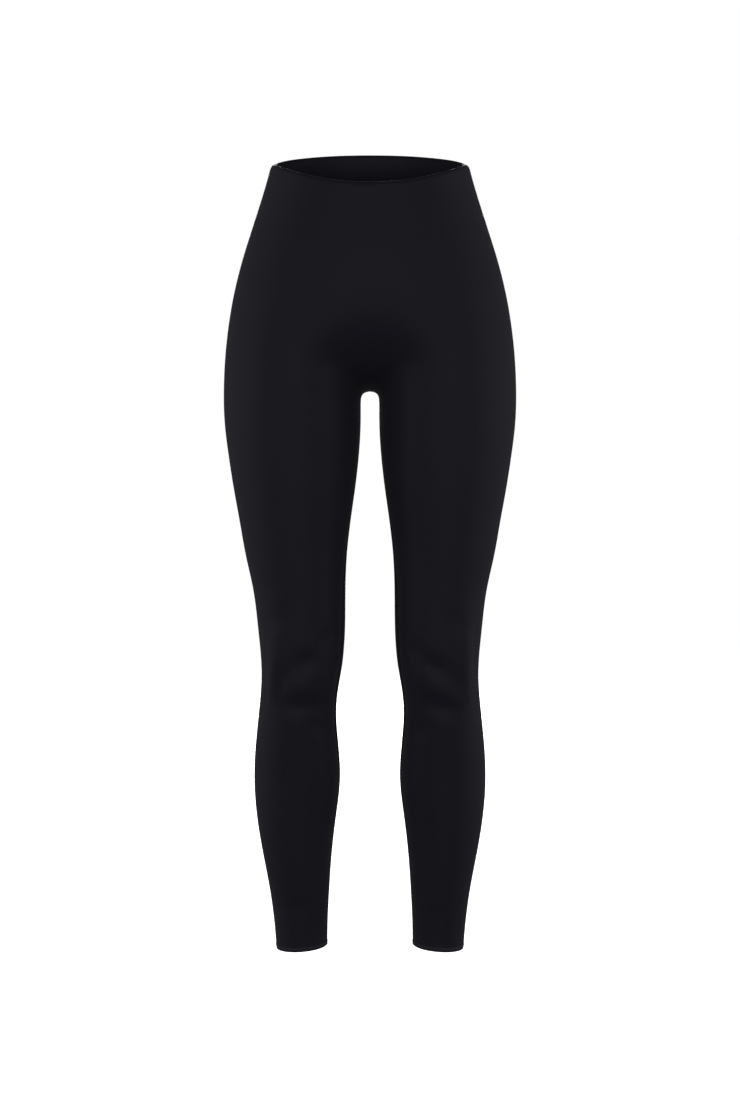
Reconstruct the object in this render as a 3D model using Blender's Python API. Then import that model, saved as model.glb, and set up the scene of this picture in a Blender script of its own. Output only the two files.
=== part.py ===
"""Full-length, high-waisted leggings in the round shape they have when worn, with nobody in them.

Units are metres and +Z is up. The front faces -Y and the wearer's left is +X. The origin is the middle of
the waist opening, where a body holds the garment up.

The outer face of the cloth is one smooth form: an oval hip with a rounded underside and two oval legs,
which melt into each other. Rows of points on that form, from the centre front round the outer side to the
centre back, give every sewn piece. Each piece is a wall of its cloth's thickness, with a narrow gap at
every seam.
"""

import math
from collections import namedtuple

import bpy
import numpy as np

# Lengths down the garment, from the origin
RIM_HEIGHT = 0.0
WAISTBAND_DEPTH = 0.070
CROTCH_HEIGHT = -0.265
HEM_HEIGHT = -0.9343
HEM_DEPTH = 0.008

# Cloth
KNIT_WALL = 0.0012
HEM_WALL = 0.0020
WAISTBAND_WALL = 0.0024
SEAM_GAP = 0.0003

# How far the rim of the waist stands over the origin at the sides, the centre front and the centre back, how
# pointed its dip at the front and its climb at the back are, and how far down they still show
RIM_SIDE = 0.0045
RIM_FRONT = -0.0140
RIM_BACK = 0.0120
RIM_POWER_FRONT = 2.25
RIM_POWER_BACK = 1.15
RIM_FADE_START = -0.200
RIM_FADE_END = -0.070

# How far the front and the outer side of the ankle opening hang below its middle
HEM_DROP_FRONT = 0.0022
HEM_DROP_OUT = 0.0024
HEM_FADE_START = -0.800
HEM_FADE_END = -0.920

# Hip sections: half the width, the reach of the front and of the back, and how square the oval is
HipSection = namedtuple("HipSection", "z half_width front back squareness")
HIP_SECTIONS = (
    HipSection(0.020, 0.1130, 0.0820, 0.0790, 2.20),
    HipSection(0.000, 0.1172, 0.0835, 0.0815, 2.20),
    HipSection(-0.035, 0.1270, 0.0885, 0.0865, 2.20),
    HipSection(-0.070, 0.1382, 0.0935, 0.0935, 2.25),
    HipSection(-0.110, 0.1509, 0.0975, 0.1040, 2.35),
    HipSection(-0.150, 0.1610, 0.0990, 0.1130, 2.50),
    HipSection(-0.190, 0.1679, 0.0985, 0.1180, 2.65),
    HipSection(-0.230, 0.1721, 0.0975, 0.1165, 2.80),
    HipSection(-0.270, 0.1735, 0.0960, 0.1110, 2.90),
    HipSection(-0.310, 0.1717, 0.0940, 0.1040, 3.00),
)

# Leg sections of the wearer's left leg: x of the outer and inner side, y of the front, back and inseam
LegSection = namedtuple("LegSection", "z outer inner front back inseam")
LEG_SECTIONS = (
    LegSection(0.020, 0.1130, 0.0115, -0.0780, 0.0780, 0.000),
    LegSection(-0.110, 0.1509, 0.0115, -0.0900, 0.0940, 0.000),
    LegSection(-0.190, 0.1679, 0.0115, -0.0925, 0.1075, 0.000),
    LegSection(-0.230, 0.1721, 0.0115, -0.0925, 0.1065, 0.000),
    LegSection(-0.265, 0.1735, 0.0115, -0.0920, 0.1005, 0.000),
    LegSection(-0.300, 0.1726, 0.0114, -0.0910, 0.0905, -0.002),
    LegSection(-0.340, 0.1679, 0.0136, -0.0890, 0.0795, -0.006),
    LegSection(-0.380, 0.1617, 0.0181, -0.0860, 0.0695, -0.012),
    LegSection(-0.420, 0.1545, 0.0236, -0.0820, 0.0610, -0.018),
    LegSection(-0.460, 0.1474, 0.0275, -0.0780, 0.0545, -0.025),
    LegSection(-0.500, 0.1388, 0.0291, -0.0740, 0.0490, -0.031),
    LegSection(-0.550, 0.1326, 0.0297, -0.0700, 0.0440, -0.034),
    LegSection(-0.595, 0.1290, 0.0337, -0.0665, 0.0425, -0.030),
    LegSection(-0.625, 0.1301, 0.0385, -0.0625, 0.0450, -0.024),
    LegSection(-0.650, 0.1325, 0.0401, -0.0580, 0.0490, -0.018),
    LegSection(-0.690, 0.1365, 0.0375, -0.0515, 0.0560, -0.008),
    LegSection(-0.730, 0.1382, 0.0361, -0.0460, 0.0610, 0.001),
    LegSection(-0.775, 0.1354, 0.0410, -0.0405, 0.0595, 0.006),
    LegSection(-0.820, 0.1283, 0.0462, -0.0345, 0.0535, 0.008),
    LegSection(-0.865, 0.1199, 0.0494, -0.0280, 0.0480, 0.010),
    LegSection(-0.905, 0.1146, 0.0513, -0.0225, 0.0455, 0.012),
    LegSection(-0.945, 0.1114, 0.0518, -0.0185, 0.0455, 0.013),
)
LEG_SQUARENESS = 2.10

# The y of the crotch, where the front and the back meet between the legs
CROTCH_Y = 0.0
# The hip's underside is a saddle round the crotch. Its middle lies this much lower than the cloth between
# the legs. It curves up to the front and to the back, and down to both sides, per square of the distance,
# and it rounds softly into the hip's oval.
UNDERSIDE_DROP = 0.013
UNDERSIDE_RISE_FRONT = 10.5
UNDERSIDE_RISE_BACK = 3.5
UNDERSIDE_FALL = 7.0
UNDERSIDE_SOFTNESS = 0.010
# How softly the hip and the legs melt into each other, and the height over which the hip's share against
# the legs' grows by a factor of e
JOIN_SOFTNESS = 0.0055
HIP_FADE = 0.020

# Rows down each piece and columns round it
WAISTBAND_ROWS = 4
HIP_ROWS = 9
LEG_ROWS = 40
QUARTER_COLUMNS = 12
# The side seam lies this far behind the widest line of the leg
SIDE_SEAM_BEHIND = math.radians(7)
# Each row climbs to the side seam: the one through the crotch ends this much higher there
ROW_CLIMB = 0.030
# The share of a row, from its inner end, over which it climbs
ROW_CLIMB_SHARE = 0.95
# How strongly the rows above the crotch gather towards it on the centre line, and those below it
HIP_ROW_GATHER = 1.7
LEG_ROW_GATHER = 1.15
# The rows above the crotch are spread from a point this share nearer to the body's middle than the leg's
# centre, all of it from this height above the crotch
CENTRE_PULL = 0.3
CENTRE_PULL_HEIGHT = 0.03

# How the points on the form are found: halvings of a ray, the furthest that a ray from a leg's centre is
# followed, in half widths of the leg, and the reach from the middle that is past the front and the back
BISECTIONS = 44
LONGEST_REACH = 2.6
PAST_THE_CLOTH = 0.16
# The step for slopes, and the height over the crotch at which the centre line has surely begun
SLOPE_STEP = 0.0001
JUST_ABOVE = 1e-7
NEVER_ZERO = 1e-9

# Knit colour and roughness of the double waistband and of the panels
WAISTBAND_COLOUR = (0.013, 0.012, 0.015)
WAISTBAND_ROUGHNESS = 0.62
PANEL_COLOUR = (0.012, 0.011, 0.014)
PANEL_ROUGHNESS = 0.58
SHARP_EDGE = math.radians(50)


def clear_scene():
    for obj in list(bpy.data.objects):
        bpy.data.objects.remove(obj, do_unlink=True)


class Spline:
    """The natural cubic curve through one column of a table of sections."""

    def __init__(self, sections, column):
        ordered = sorted(sections, key=lambda section: section.z)
        self.knots = np.array([section.z for section in ordered])
        self.values = np.array([getattr(section, column) for section in ordered])
        gaps = np.diff(self.knots)
        slopes = np.diff(self.values) / gaps
        matrix = np.eye(len(self.knots))
        right = np.zeros(len(self.knots))
        for i in range(1, len(self.knots) - 1):
            matrix[i, i - 1 : i + 2] = gaps[i - 1], 2 * (gaps[i - 1] + gaps[i]), gaps[i]
            right[i] = 6 * (slopes[i] - slopes[i - 1])
        self.bends = np.linalg.solve(matrix, right)

    def __call__(self, z):
        z = np.clip(z, self.knots[0], self.knots[-1])
        i = np.clip(np.searchsorted(self.knots, z) - 1, 0, len(self.knots) - 2)
        gap = self.knots[i + 1] - self.knots[i]
        after = (z - self.knots[i]) / gap
        before = 1 - after
        straight = before * self.values[i] + after * self.values[i + 1]
        bent = (before**3 - before) * self.bends[i] + (after**3 - after) * self.bends[i + 1]
        return straight + bent * gap**2 / 6


HIP = {column: Spline(HIP_SECTIONS, column) for column in HipSection._fields[1:]}
LEG = {column: Spline(LEG_SECTIONS, column) for column in LegSection._fields[1:]}


def smooth_step(value):
    value = np.clip(value, 0, 1)
    return value * value * (3 - 2 * value)


def leg_oval(z):
    """Centre x and y, half the width and half the depth of the left leg's section."""
    outer, inner, front, back = (LEG[column](z) for column in ("outer", "inner", "front", "back"))
    return (outer + inner) / 2, (front + back) / 2, (outer - inner) / 2, (back - front) / 2


def outside_leg(x, y, z):
    """About how far a point lies outside the nearer leg's oval, negative inside."""
    centre_x, centre_y, half_width, half_depth = leg_oval(z)
    across = np.abs(np.abs(x) - centre_x) / half_width
    along = np.abs(y - centre_y) / half_depth
    reach = (across**LEG_SQUARENESS + along**LEG_SQUARENESS) ** (1 / LEG_SQUARENESS)
    return (reach - 1) * np.sqrt(half_width * half_depth)


def outside_hip(x, y, z):
    """About how far a point lies outside the hip's oval or under its underside, negative inside."""
    half_width, front, back, squareness = (HIP[column](z) for column in HipSection._fields[1:])
    across = np.abs(x) / half_width
    along = np.abs(y) / np.where(y < 0, front, back)
    reach = (across**squareness + along**squareness) ** (1 / squareness)
    beside = (reach - 1) * np.sqrt(half_width * (front + back) / 2)
    rise = np.where(y < CROTCH_Y, UNDERSIDE_RISE_FRONT, UNDERSIDE_RISE_BACK)
    lowest = CROTCH_HEIGHT - UNDERSIDE_DROP + rise * (y - CROTCH_Y) ** 2 - UNDERSIDE_FALL * x**2
    steepness = np.sqrt(1 + (2 * rise * (y - CROTCH_Y)) ** 2 + (2 * UNDERSIDE_FALL * x) ** 2)
    below = (lowest - z) / steepness
    return UNDERSIDE_SOFTNESS * np.logaddexp(beside / UNDERSIDE_SOFTNESS, below / UNDERSIDE_SOFTNESS)


def crotch_fade():
    """Logarithm of the hip's share against the legs' at the crotch, which puts the cloth at its height."""
    crotch = 0.0, CROTCH_Y, CROTCH_HEIGHT
    left_for_hip = 1 - math.exp(-outside_leg(*crotch) / JOIN_SOFTNESS)
    return math.log(left_for_hip / (math.exp(-outside_hip(*crotch) / JOIN_SOFTNESS) - 1))


FADE_AT_CROTCH = crotch_fade()


def outside(x, y, z):
    """About how far a point lies outside the leggings' outer face, negative inside."""
    fade = FADE_AT_CROTCH + (z - CROTCH_HEIGHT) / HIP_FADE
    leg = -np.logaddexp(0, fade) - outside_leg(x, y, z) / JOIN_SOFTNESS
    hip = -np.logaddexp(0, -fade) - outside_hip(x, y, z) / JOIN_SOFTNESS
    return -JOIN_SOFTNESS * np.logaddexp(leg, hip)


def outward(points):
    """Unit normals of the outer face at points on it."""
    slopes = []
    for axis in range(3):
        step = np.zeros(3)
        step[axis] = SLOPE_STEP
        ahead = outside(*np.moveaxis(points + step, -1, 0))
        behind = outside(*np.moveaxis(points - step, -1, 0))
        slopes.append(ahead - behind)
    normals = np.stack(slopes, axis=-1)
    return normals / np.linalg.norm(normals, axis=-1, keepdims=True)


def root(function, inside, beyond):
    """Where function turns positive between inside, where it is negative, and beyond."""
    inside = np.array(inside, dtype=float)
    beyond = np.array(beyond, dtype=float)
    for _ in range(BISECTIONS):
        middle = (inside + beyond) / 2
        negative = function(middle) < 0
        inside = np.where(negative, middle, inside)
        beyond = np.where(negative, beyond, middle)
    return (inside + beyond) / 2


def centre_line(z, way):
    """The y of the centre front (way -1) or centre back (way 1) at height z above the crotch."""
    z = np.maximum(z, CROTCH_HEIGHT + JUST_ABOVE)
    reach = root(
        lambda length: outside(0 * z, CROTCH_Y + way * length, z), 0 * z, np.full_like(z, PAST_THE_CLOTH)
    )
    return CROTCH_Y + way * reach


def rim_lift(turn):
    """Height of the waist's rim over the origin, at an angle from the centre front."""
    ahead = np.cos(turn)
    front = (RIM_FRONT - RIM_SIDE) * np.maximum(ahead, 0) ** RIM_POWER_FRONT
    back = (RIM_BACK - RIM_SIDE) * np.maximum(-ahead, 0) ** RIM_POWER_BACK
    return RIM_SIDE + front + back


def hem_drop(angle):
    """How far the ankle opening hangs below its middle, at an angle round the leg from its inner side."""
    return HEM_DROP_FRONT * np.sin(angle) - HEM_DROP_OUT * np.cos(angle)


# A row of points: its height at the side seam, its height at the centre line or the inseam, and its wall
Row = namedtuple("Row", "outer inner wall")


def waistband_rows():
    depths = np.linspace(0, WAISTBAND_DEPTH, WAISTBAND_ROWS + 1)
    return [Row(RIM_HEIGHT - depth, RIM_HEIGHT - depth, WAISTBAND_WALL) for depth in depths]


def hip_rows():
    """Rows from the waist seam down to the one that runs through the crotch."""
    inner_height = RIM_HEIGHT - WAISTBAND_DEPTH - CROTCH_HEIGHT
    outer_height = inner_height - ROW_CLIMB
    rows = []
    for share in np.linspace(1, 0, HIP_ROWS + 1):
        outer = CROTCH_HEIGHT + ROW_CLIMB + outer_height * share
        rows.append(Row(outer, CROTCH_HEIGHT + inner_height * share**HIP_ROW_GATHER, KNIT_WALL))
    return rows


def leg_rows():
    """Rows from below the crotch to the hem. They start close together on the inner side, round the arch."""
    length = ROW_CLIMB + CROTCH_HEIGHT - HEM_HEIGHT
    above_hem = length - HEM_DEPTH
    shares = np.linspace(0, 1, LEG_ROWS + 1)[1:]
    drops = [*above_hem * shares**LEG_ROW_GATHER, above_hem + HEM_WALL / 2, length]
    walls = [KNIT_WALL] * LEG_ROWS + [HEM_WALL] * 2
    rows = []
    for drop, wall in zip(drops, walls):
        climb = ROW_CLIMB * math.exp(-drop / ROW_CLIMB)
        outer = CROTCH_HEIGHT + ROW_CLIMB - drop
        rows.append(Row(outer, outer - climb, wall))
    return rows


def row_oval(row, z):
    """The oval that spreads a row's points: the leg's, drawn to the middle of the body above the crotch."""
    centre_x, centre_y, half_width, half_depth = leg_oval(z)
    pulled = CENTRE_PULL * centre_x * smooth_step((row.inner - CROTCH_HEIGHT) / CENTRE_PULL_HEIGHT)
    return centre_x - pulled, centre_y, half_width + pulled, half_depth


def row_start(row, height, way):
    """The angle round the row's oval, from its inner side, where a row starts, and the reach to there."""
    centre_x, centre_y, half_width, half_depth = row_oval(row, height)
    if row.inner >= CROTCH_HEIGHT:
        to_start = (centre_y - centre_line(height, way)) / half_depth
        return math.atan2(to_start, centre_x / half_width), math.hypot(to_start, centre_x / half_width)
    return math.asin((centre_y - LEG["inseam"](height)) / half_depth), centre_x / half_width


def left_half(rows, way):
    """Points and normals of the left half, rows by columns, from the inner side to the side seam.

    The front half has way -1 and the back half has way 1.
    """
    share = np.linspace(0, 1, QUARTER_COLUMNS + 1)
    turn = math.pi / 2 * share if way < 0 else math.pi - math.pi / 2 * share
    seam = math.pi + SIDE_SEAM_BEHIND if way < 0 else SIDE_SEAM_BEHIND - math.pi
    climbing = np.cos(math.pi / 2 * np.minimum(share / ROW_CLIMB_SHARE, 1)) ** 2
    points = []
    for row in rows:
        lift = rim_lift(turn) * smooth_step((row.outer - RIM_FADE_START) / (RIM_FADE_END - RIM_FADE_START))
        drop = hem_drop(share * seam) * smooth_step(
            (row.outer - HEM_FADE_START) / (HEM_FADE_END - HEM_FADE_START)
        )
        level = row.outer + lift - drop
        aimed = level + (row.inner - row.outer) * climbing
        start, start_reach = row_start(row, aimed[0], way)
        angle = start + (seam - start) * share
        centre_x, centre_y, half_width, half_depth = row_oval(row, aimed)
        aside = -np.cos(angle) * half_width
        along = -np.sin(angle) * half_depth
        down = (aimed - level) / start_reach
        to_middle = np.where(aside < 0, centre_x / np.maximum(-aside, NEVER_ZERO), LONGEST_REACH)
        reach = root(
            lambda length: outside(centre_x + aside * length, centre_y + along * length, level + down * length),
            0 * share,
            np.minimum(to_middle, LONGEST_REACH),
        )
        line = np.stack([centre_x + aside * reach, centre_y + along * reach, level + down * reach], axis=-1)
        if row.inner >= CROTCH_HEIGHT:
            line[0] = 0, centre_line(aimed[0], way), aimed[0]
        if row.inner == CROTCH_HEIGHT:
            line[0] = 0, CROTCH_Y, CROTCH_HEIGHT
        points.append(line)
    points = np.array(points)
    return points, outward(points)


def step_in(edge, neighbours):
    """Moves an edge's points half a seam gap towards their neighbours."""
    way = neighbours - edge
    return edge + way / np.linalg.norm(way, axis=-1, keepdims=True) * SEAM_GAP / 2


class Piece:
    """A cut piece as an outer and an inner sheet of points, with the quads between them."""

    def __init__(self, points, normals, walls):
        self.outer = points
        self.inner = points - normals * walls
        self.quads = []

    @classmethod
    def of_half(cls, rows, way):
        points, normals = left_half(rows, way)
        walls = np.array([row.wall for row in rows])[:, None, None]
        return cls(points, normals, walls)

    def open_seam(self, rows, columns, next_rows, next_columns):
        for sheet in (self.outer, self.inner):
            sheet[rows, columns] = step_in(sheet[rows, columns], sheet[next_rows, next_columns])


def grid_quads(index, flip):
    quads = []
    for upper, lower in zip(index[:-1], index[1:]):
        for j in range(len(upper) - 1):
            quad = (upper[j], lower[j], lower[j + 1], upper[j + 1])
            quads.append(quad[::-1] if flip else quad)
    return quads


def split_quad(quad, points):
    """Two triangles on either side of the quad's shorter diagonal."""
    a, b, c, d = quad
    if np.linalg.norm(points[a] - points[c]) <= np.linalg.norm(points[b] - points[d]):
        return [(a, b, c), (a, c, d)]
    return [(a, b, d), (b, c, d)]


def closed_wall(name, outer, inner, quads):
    """A closed solid between two matching sheets, with the rim round their open edges filled."""
    triangles = [triangle for quad in quads for triangle in split_quad(quad, outer)]
    count = len(outer)
    faces = triangles + [tuple(count + corner for corner in reversed(face)) for face in triangles]
    edges = {edge for a, b, c in triangles for edge in ((a, b), (b, c), (c, a))}
    faces += [(b, a, count + a, count + b) for a, b in sorted(edges) if (b, a) not in edges]
    mesh = bpy.data.meshes.new(name)
    mesh.from_pydata(np.concatenate([outer, inner]).tolist(), [], faces)
    mesh.update()
    mesh.shade_smooth()
    mesh.set_sharp_from_angle(angle=SHARP_EDGE)
    obj = bpy.data.objects.new(name, mesh)
    bpy.context.scene.collection.objects.link(obj)
    return obj


def mirrored(points):
    return points * (-1, 1, 1)


def joined_halves(name, piece, shared_rows, flip):
    """One piece from its left half and the mirror image, which share the centre line's first rows."""
    rows, columns = piece.outer.shape[:2]
    left = np.arange(rows * columns).reshape(rows, columns)
    right = left + rows * columns
    right[:shared_rows, 0] = left[:shared_rows, 0]
    outer = np.concatenate([piece.outer.reshape(-1, 3), mirrored(piece.outer).reshape(-1, 3)])
    inner = np.concatenate([piece.inner.reshape(-1, 3), mirrored(piece.inner).reshape(-1, 3)])
    quads = grid_quads(left, flip) + grid_quads(right, not flip)
    used = np.unique(quads)
    place = {old: new for new, old in enumerate(used)}
    quads = [tuple(place[corner] for corner in quad) for quad in quads]
    return closed_wall(name, outer[used], inner[used], quads)


def single_half(name, piece, mirror, flip):
    rows, columns = piece.outer.shape[:2]
    index = np.arange(rows * columns).reshape(rows, columns)
    outer = piece.outer.reshape(-1, 3)
    inner = piece.inner.reshape(-1, 3)
    if mirror:
        outer, inner = mirrored(outer), mirrored(inner)
    quads = [tuple(int(corner) for corner in quad) for quad in grid_quads(index, flip != mirror)]
    return closed_wall(name, outer, inner, quads)


def knit_material(name, colour, roughness):
    material = bpy.data.materials.new(name)
    material.use_nodes = True
    shader = material.node_tree.nodes["Principled BSDF"]
    shader.inputs["Base Color"].default_value = (*colour, 1)
    shader.inputs["Roughness"].default_value = roughness
    shader.inputs["Metallic"].default_value = 0
    return material


def make_waistband():
    """The front and back halves of the double-layer band, which meet at the side seams."""
    made = []
    for name, way in (("waistband_front", -1), ("waistband_back", 1)):
        half = Piece.of_half(waistband_rows(), way)
        half.open_seam(slice(None), -1, slice(None), -2)
        half.open_seam(-1, slice(None), -2, slice(None))
        made.append(joined_halves(name, half, WAISTBAND_ROWS + 1, flip=way > 0))
    return made


def make_front_panel():
    """One panel for the belly and the front of both legs, with no centre seam."""
    half = Piece.of_half(hip_rows() + leg_rows(), -1)
    below = slice(HIP_ROWS + 1, None)
    half.open_seam(0, slice(None), 1, slice(None))
    half.open_seam(slice(None), -1, slice(None), -2)
    half.open_seam(below, 0, below, 1)
    half.open_seam(HIP_ROWS, 0, HIP_ROWS - 1, 0)
    return joined_halves("front_panel", half, HIP_ROWS + 1, flip=False)


def make_back_panels():
    """The wearer's left and right back, which meet at the centre-back seam."""
    half = Piece.of_half(hip_rows() + leg_rows(), 1)
    half.open_seam(0, slice(None), 1, slice(None))
    half.open_seam(slice(None), -1, slice(None), -2)
    half.open_seam(slice(None), 0, slice(None), 1)
    for sheet in (half.outer, half.inner):
        sheet[..., 0] = np.maximum(sheet[..., 0], SEAM_GAP / 2)
    return [
        single_half("back_panel_l", half, mirror=False, flip=True),
        single_half("back_panel_r", half, mirror=True, flip=True),
    ]


def main():
    clear_scene()
    for obj in make_waistband():
        obj.data.materials.append(knit_material(obj.name + "_knit", WAISTBAND_COLOUR, WAISTBAND_ROUGHNESS))
    for obj in [make_front_panel(), *make_back_panels()]:
        obj.data.materials.append(knit_material(obj.name + "_knit", PANEL_COLOUR, PANEL_ROUGHNESS))


main()
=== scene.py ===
"""Looks of a pair of full-length, high-waisted black knit leggings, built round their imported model.

Units are metres and +Z is up. The front faces -Y, the wearer's left is +X, and the origin is the middle
of the waist opening. The cloth is one smooth worn form, cut into the same five sewn pieces as the solids,
with soft creases, rolled edges, flat seams and stitched hems on it.
"""

import logging
import math
from dataclasses import dataclass, field
from enum import Enum
from typing import Any, Callable, NamedTuple, Sequence

import bpy
import numpy as np
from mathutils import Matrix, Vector


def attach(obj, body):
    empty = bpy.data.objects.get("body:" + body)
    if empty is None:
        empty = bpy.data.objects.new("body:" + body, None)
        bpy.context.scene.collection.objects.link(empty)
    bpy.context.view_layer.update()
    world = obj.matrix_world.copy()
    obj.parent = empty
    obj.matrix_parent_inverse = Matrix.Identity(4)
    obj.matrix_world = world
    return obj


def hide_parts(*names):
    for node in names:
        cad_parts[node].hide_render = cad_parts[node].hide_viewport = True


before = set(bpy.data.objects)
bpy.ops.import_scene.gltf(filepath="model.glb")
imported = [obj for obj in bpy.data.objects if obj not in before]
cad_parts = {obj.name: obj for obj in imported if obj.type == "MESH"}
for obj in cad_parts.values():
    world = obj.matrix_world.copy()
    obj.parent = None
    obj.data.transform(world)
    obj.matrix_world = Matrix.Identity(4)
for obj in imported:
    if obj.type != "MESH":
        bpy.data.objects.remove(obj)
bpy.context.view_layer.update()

LOG = logging.getLogger("leggings")
BODY = "root"


class Side(Enum):
    """One side of the wearer's body, by the sign of its x."""

    LEFT = 1
    RIGHT = -1


class Face(Enum):
    """The front or back half of the garment, by the sign of its y."""

    FRONT = -1
    BACK = 1


class HipSection(NamedTuple):
    """The hip's oval at one height."""

    z: float
    half_width: float
    front: float
    back: float
    squareness: float


class LegSection(NamedTuple):
    """The left leg's oval at one height, and the y of its inseam."""

    z: float
    outer: float
    inner: float
    front: float
    back: float
    inseam: float


HIP_SECTIONS = (
    HipSection(0.020, 0.1130, 0.0820, 0.0790, 2.20),
    HipSection(0.000, 0.1172, 0.0835, 0.0815, 2.20),
    HipSection(-0.035, 0.1270, 0.0885, 0.0865, 2.20),
    HipSection(-0.070, 0.1382, 0.0935, 0.0935, 2.25),
    HipSection(-0.110, 0.1509, 0.0975, 0.1040, 2.35),
    HipSection(-0.150, 0.1610, 0.0990, 0.1130, 2.50),
    HipSection(-0.190, 0.1679, 0.0985, 0.1180, 2.65),
    HipSection(-0.230, 0.1721, 0.0975, 0.1165, 2.80),
    HipSection(-0.270, 0.1735, 0.0960, 0.1110, 2.90),
    HipSection(-0.310, 0.1717, 0.0940, 0.1040, 3.00),
)

LEG_SECTIONS = (
    LegSection(0.020, 0.1130, 0.0115, -0.0780, 0.0780, 0.000),
    LegSection(-0.110, 0.1509, 0.0115, -0.0900, 0.0940, 0.000),
    LegSection(-0.190, 0.1679, 0.0115, -0.0925, 0.1075, 0.000),
    LegSection(-0.230, 0.1721, 0.0115, -0.0925, 0.1065, 0.000),
    LegSection(-0.265, 0.1735, 0.0115, -0.0920, 0.1005, 0.000),
    LegSection(-0.300, 0.1726, 0.0114, -0.0910, 0.0905, -0.002),
    LegSection(-0.340, 0.1679, 0.0136, -0.0890, 0.0795, -0.006),
    LegSection(-0.380, 0.1617, 0.0181, -0.0860, 0.0695, -0.012),
    LegSection(-0.420, 0.1545, 0.0236, -0.0820, 0.0610, -0.018),
    LegSection(-0.460, 0.1474, 0.0275, -0.0780, 0.0545, -0.025),
    LegSection(-0.500, 0.1388, 0.0291, -0.0740, 0.0490, -0.031),
    LegSection(-0.550, 0.1326, 0.0297, -0.0700, 0.0440, -0.034),
    LegSection(-0.595, 0.1290, 0.0337, -0.0665, 0.0425, -0.030),
    LegSection(-0.625, 0.1301, 0.0385, -0.0625, 0.0450, -0.024),
    LegSection(-0.650, 0.1325, 0.0401, -0.0580, 0.0490, -0.018),
    LegSection(-0.690, 0.1365, 0.0375, -0.0515, 0.0560, -0.008),
    LegSection(-0.730, 0.1382, 0.0361, -0.0460, 0.0610, 0.001),
    LegSection(-0.775, 0.1354, 0.0410, -0.0405, 0.0595, 0.006),
    LegSection(-0.820, 0.1283, 0.0462, -0.0345, 0.0535, 0.008),
    LegSection(-0.865, 0.1199, 0.0494, -0.0280, 0.0480, 0.010),
    LegSection(-0.905, 0.1146, 0.0513, -0.0225, 0.0455, 0.012),
    LegSection(-0.945, 0.1114, 0.0518, -0.0185, 0.0455, 0.013),
)


class Spline:
    """The natural cubic curve through one column of a table of sections."""

    def __init__(self, sections: Sequence[NamedTuple], column: str) -> None:
        """Works out the curve's bends at the table's heights.

        Args:
            sections: the table's rows, each with a z.
            column: the name of the value that the curve runs through.
        """
        ordered = sorted(sections, key=lambda section: section.z)
        self.knots = np.array([section.z for section in ordered])
        self.values = np.array([getattr(section, column) for section in ordered])
        gaps = np.diff(self.knots)
        slopes = np.diff(self.values) / gaps
        matrix = np.eye(len(self.knots))
        right = np.zeros(len(self.knots))
        for i in range(1, len(self.knots) - 1):
            matrix[i, i - 1 : i + 2] = gaps[i - 1], 2 * (gaps[i - 1] + gaps[i]), gaps[i]
            right[i] = 6 * (slopes[i] - slopes[i - 1])
        self.bends = np.linalg.solve(matrix, right)

    def __call__(self, z: np.ndarray) -> np.ndarray:
        """The curve's value at each height.

        Args:
            z: heights.

        Returns:
            The values, in the same shape.
        """
        z = np.clip(z, self.knots[0], self.knots[-1])
        i = np.clip(np.searchsorted(self.knots, z) - 1, 0, len(self.knots) - 2)
        gap = self.knots[i + 1] - self.knots[i]
        after = (z - self.knots[i]) / gap
        before = 1 - after
        straight = before * self.values[i] + after * self.values[i + 1]
        bent = (before**3 - before) * self.bends[i] + (after**3 - after) * self.bends[i + 1]
        return straight + bent * gap**2 / 6


def smooth_step(value: np.ndarray) -> np.ndarray:
    """A soft step from 0 to 1 as value goes from 0 to 1."""
    value = np.clip(value, 0, 1)
    return value * value * (3 - 2 * value)


def lengths_along(points: np.ndarray) -> np.ndarray:
    """The distance from the first point of each row to every point of it, along the row."""
    steps = np.linalg.norm(np.diff(points, axis=-2), axis=-1)
    return np.concatenate([np.zeros_like(steps[..., :1]), np.cumsum(steps, axis=-1)], axis=-1)


Oval = tuple[np.ndarray, np.ndarray, np.ndarray, np.ndarray]


MIRRORED = (-1, 1, 1)


class Row(NamedTuple):
    """A row of points, by its height at the side seam and at the centre line or inseam."""

    outer: float
    inner: float


def side_heights(rows: Sequence[Row]) -> np.ndarray:
    """The rows' heights at the side seam, as a column."""
    return np.array([row.outer for row in rows])[:, None]


def inner_heights(rows: Sequence[Row]) -> np.ndarray:
    """The rows' heights at the centre line or inseam, as a column."""
    return np.array([row.inner for row in rows])[:, None]


@dataclass(frozen=True)
class Steps:
    """Where a grid's columns stand: close together by the seams and evenly spaced between."""

    near_seam: tuple[float, ...] = (0.0, 0.0008, 0.0016, 0.0023, 0.0029, 0.0037, 0.0050, 0.0070)
    between: int = 42
    samples: int = 128

    def across(self, length: float) -> np.ndarray:
        """Distances of all the columns along a row.

        Args:
            length: the row's length.

        Returns:
            The distances from its inner end.
        """
        near = np.array(self.near_seam)
        middle = np.linspace(near[-1], length - near[-1], self.between + 1)[1:-1]
        return np.concatenate([near, middle, length - near[::-1]])


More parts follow.
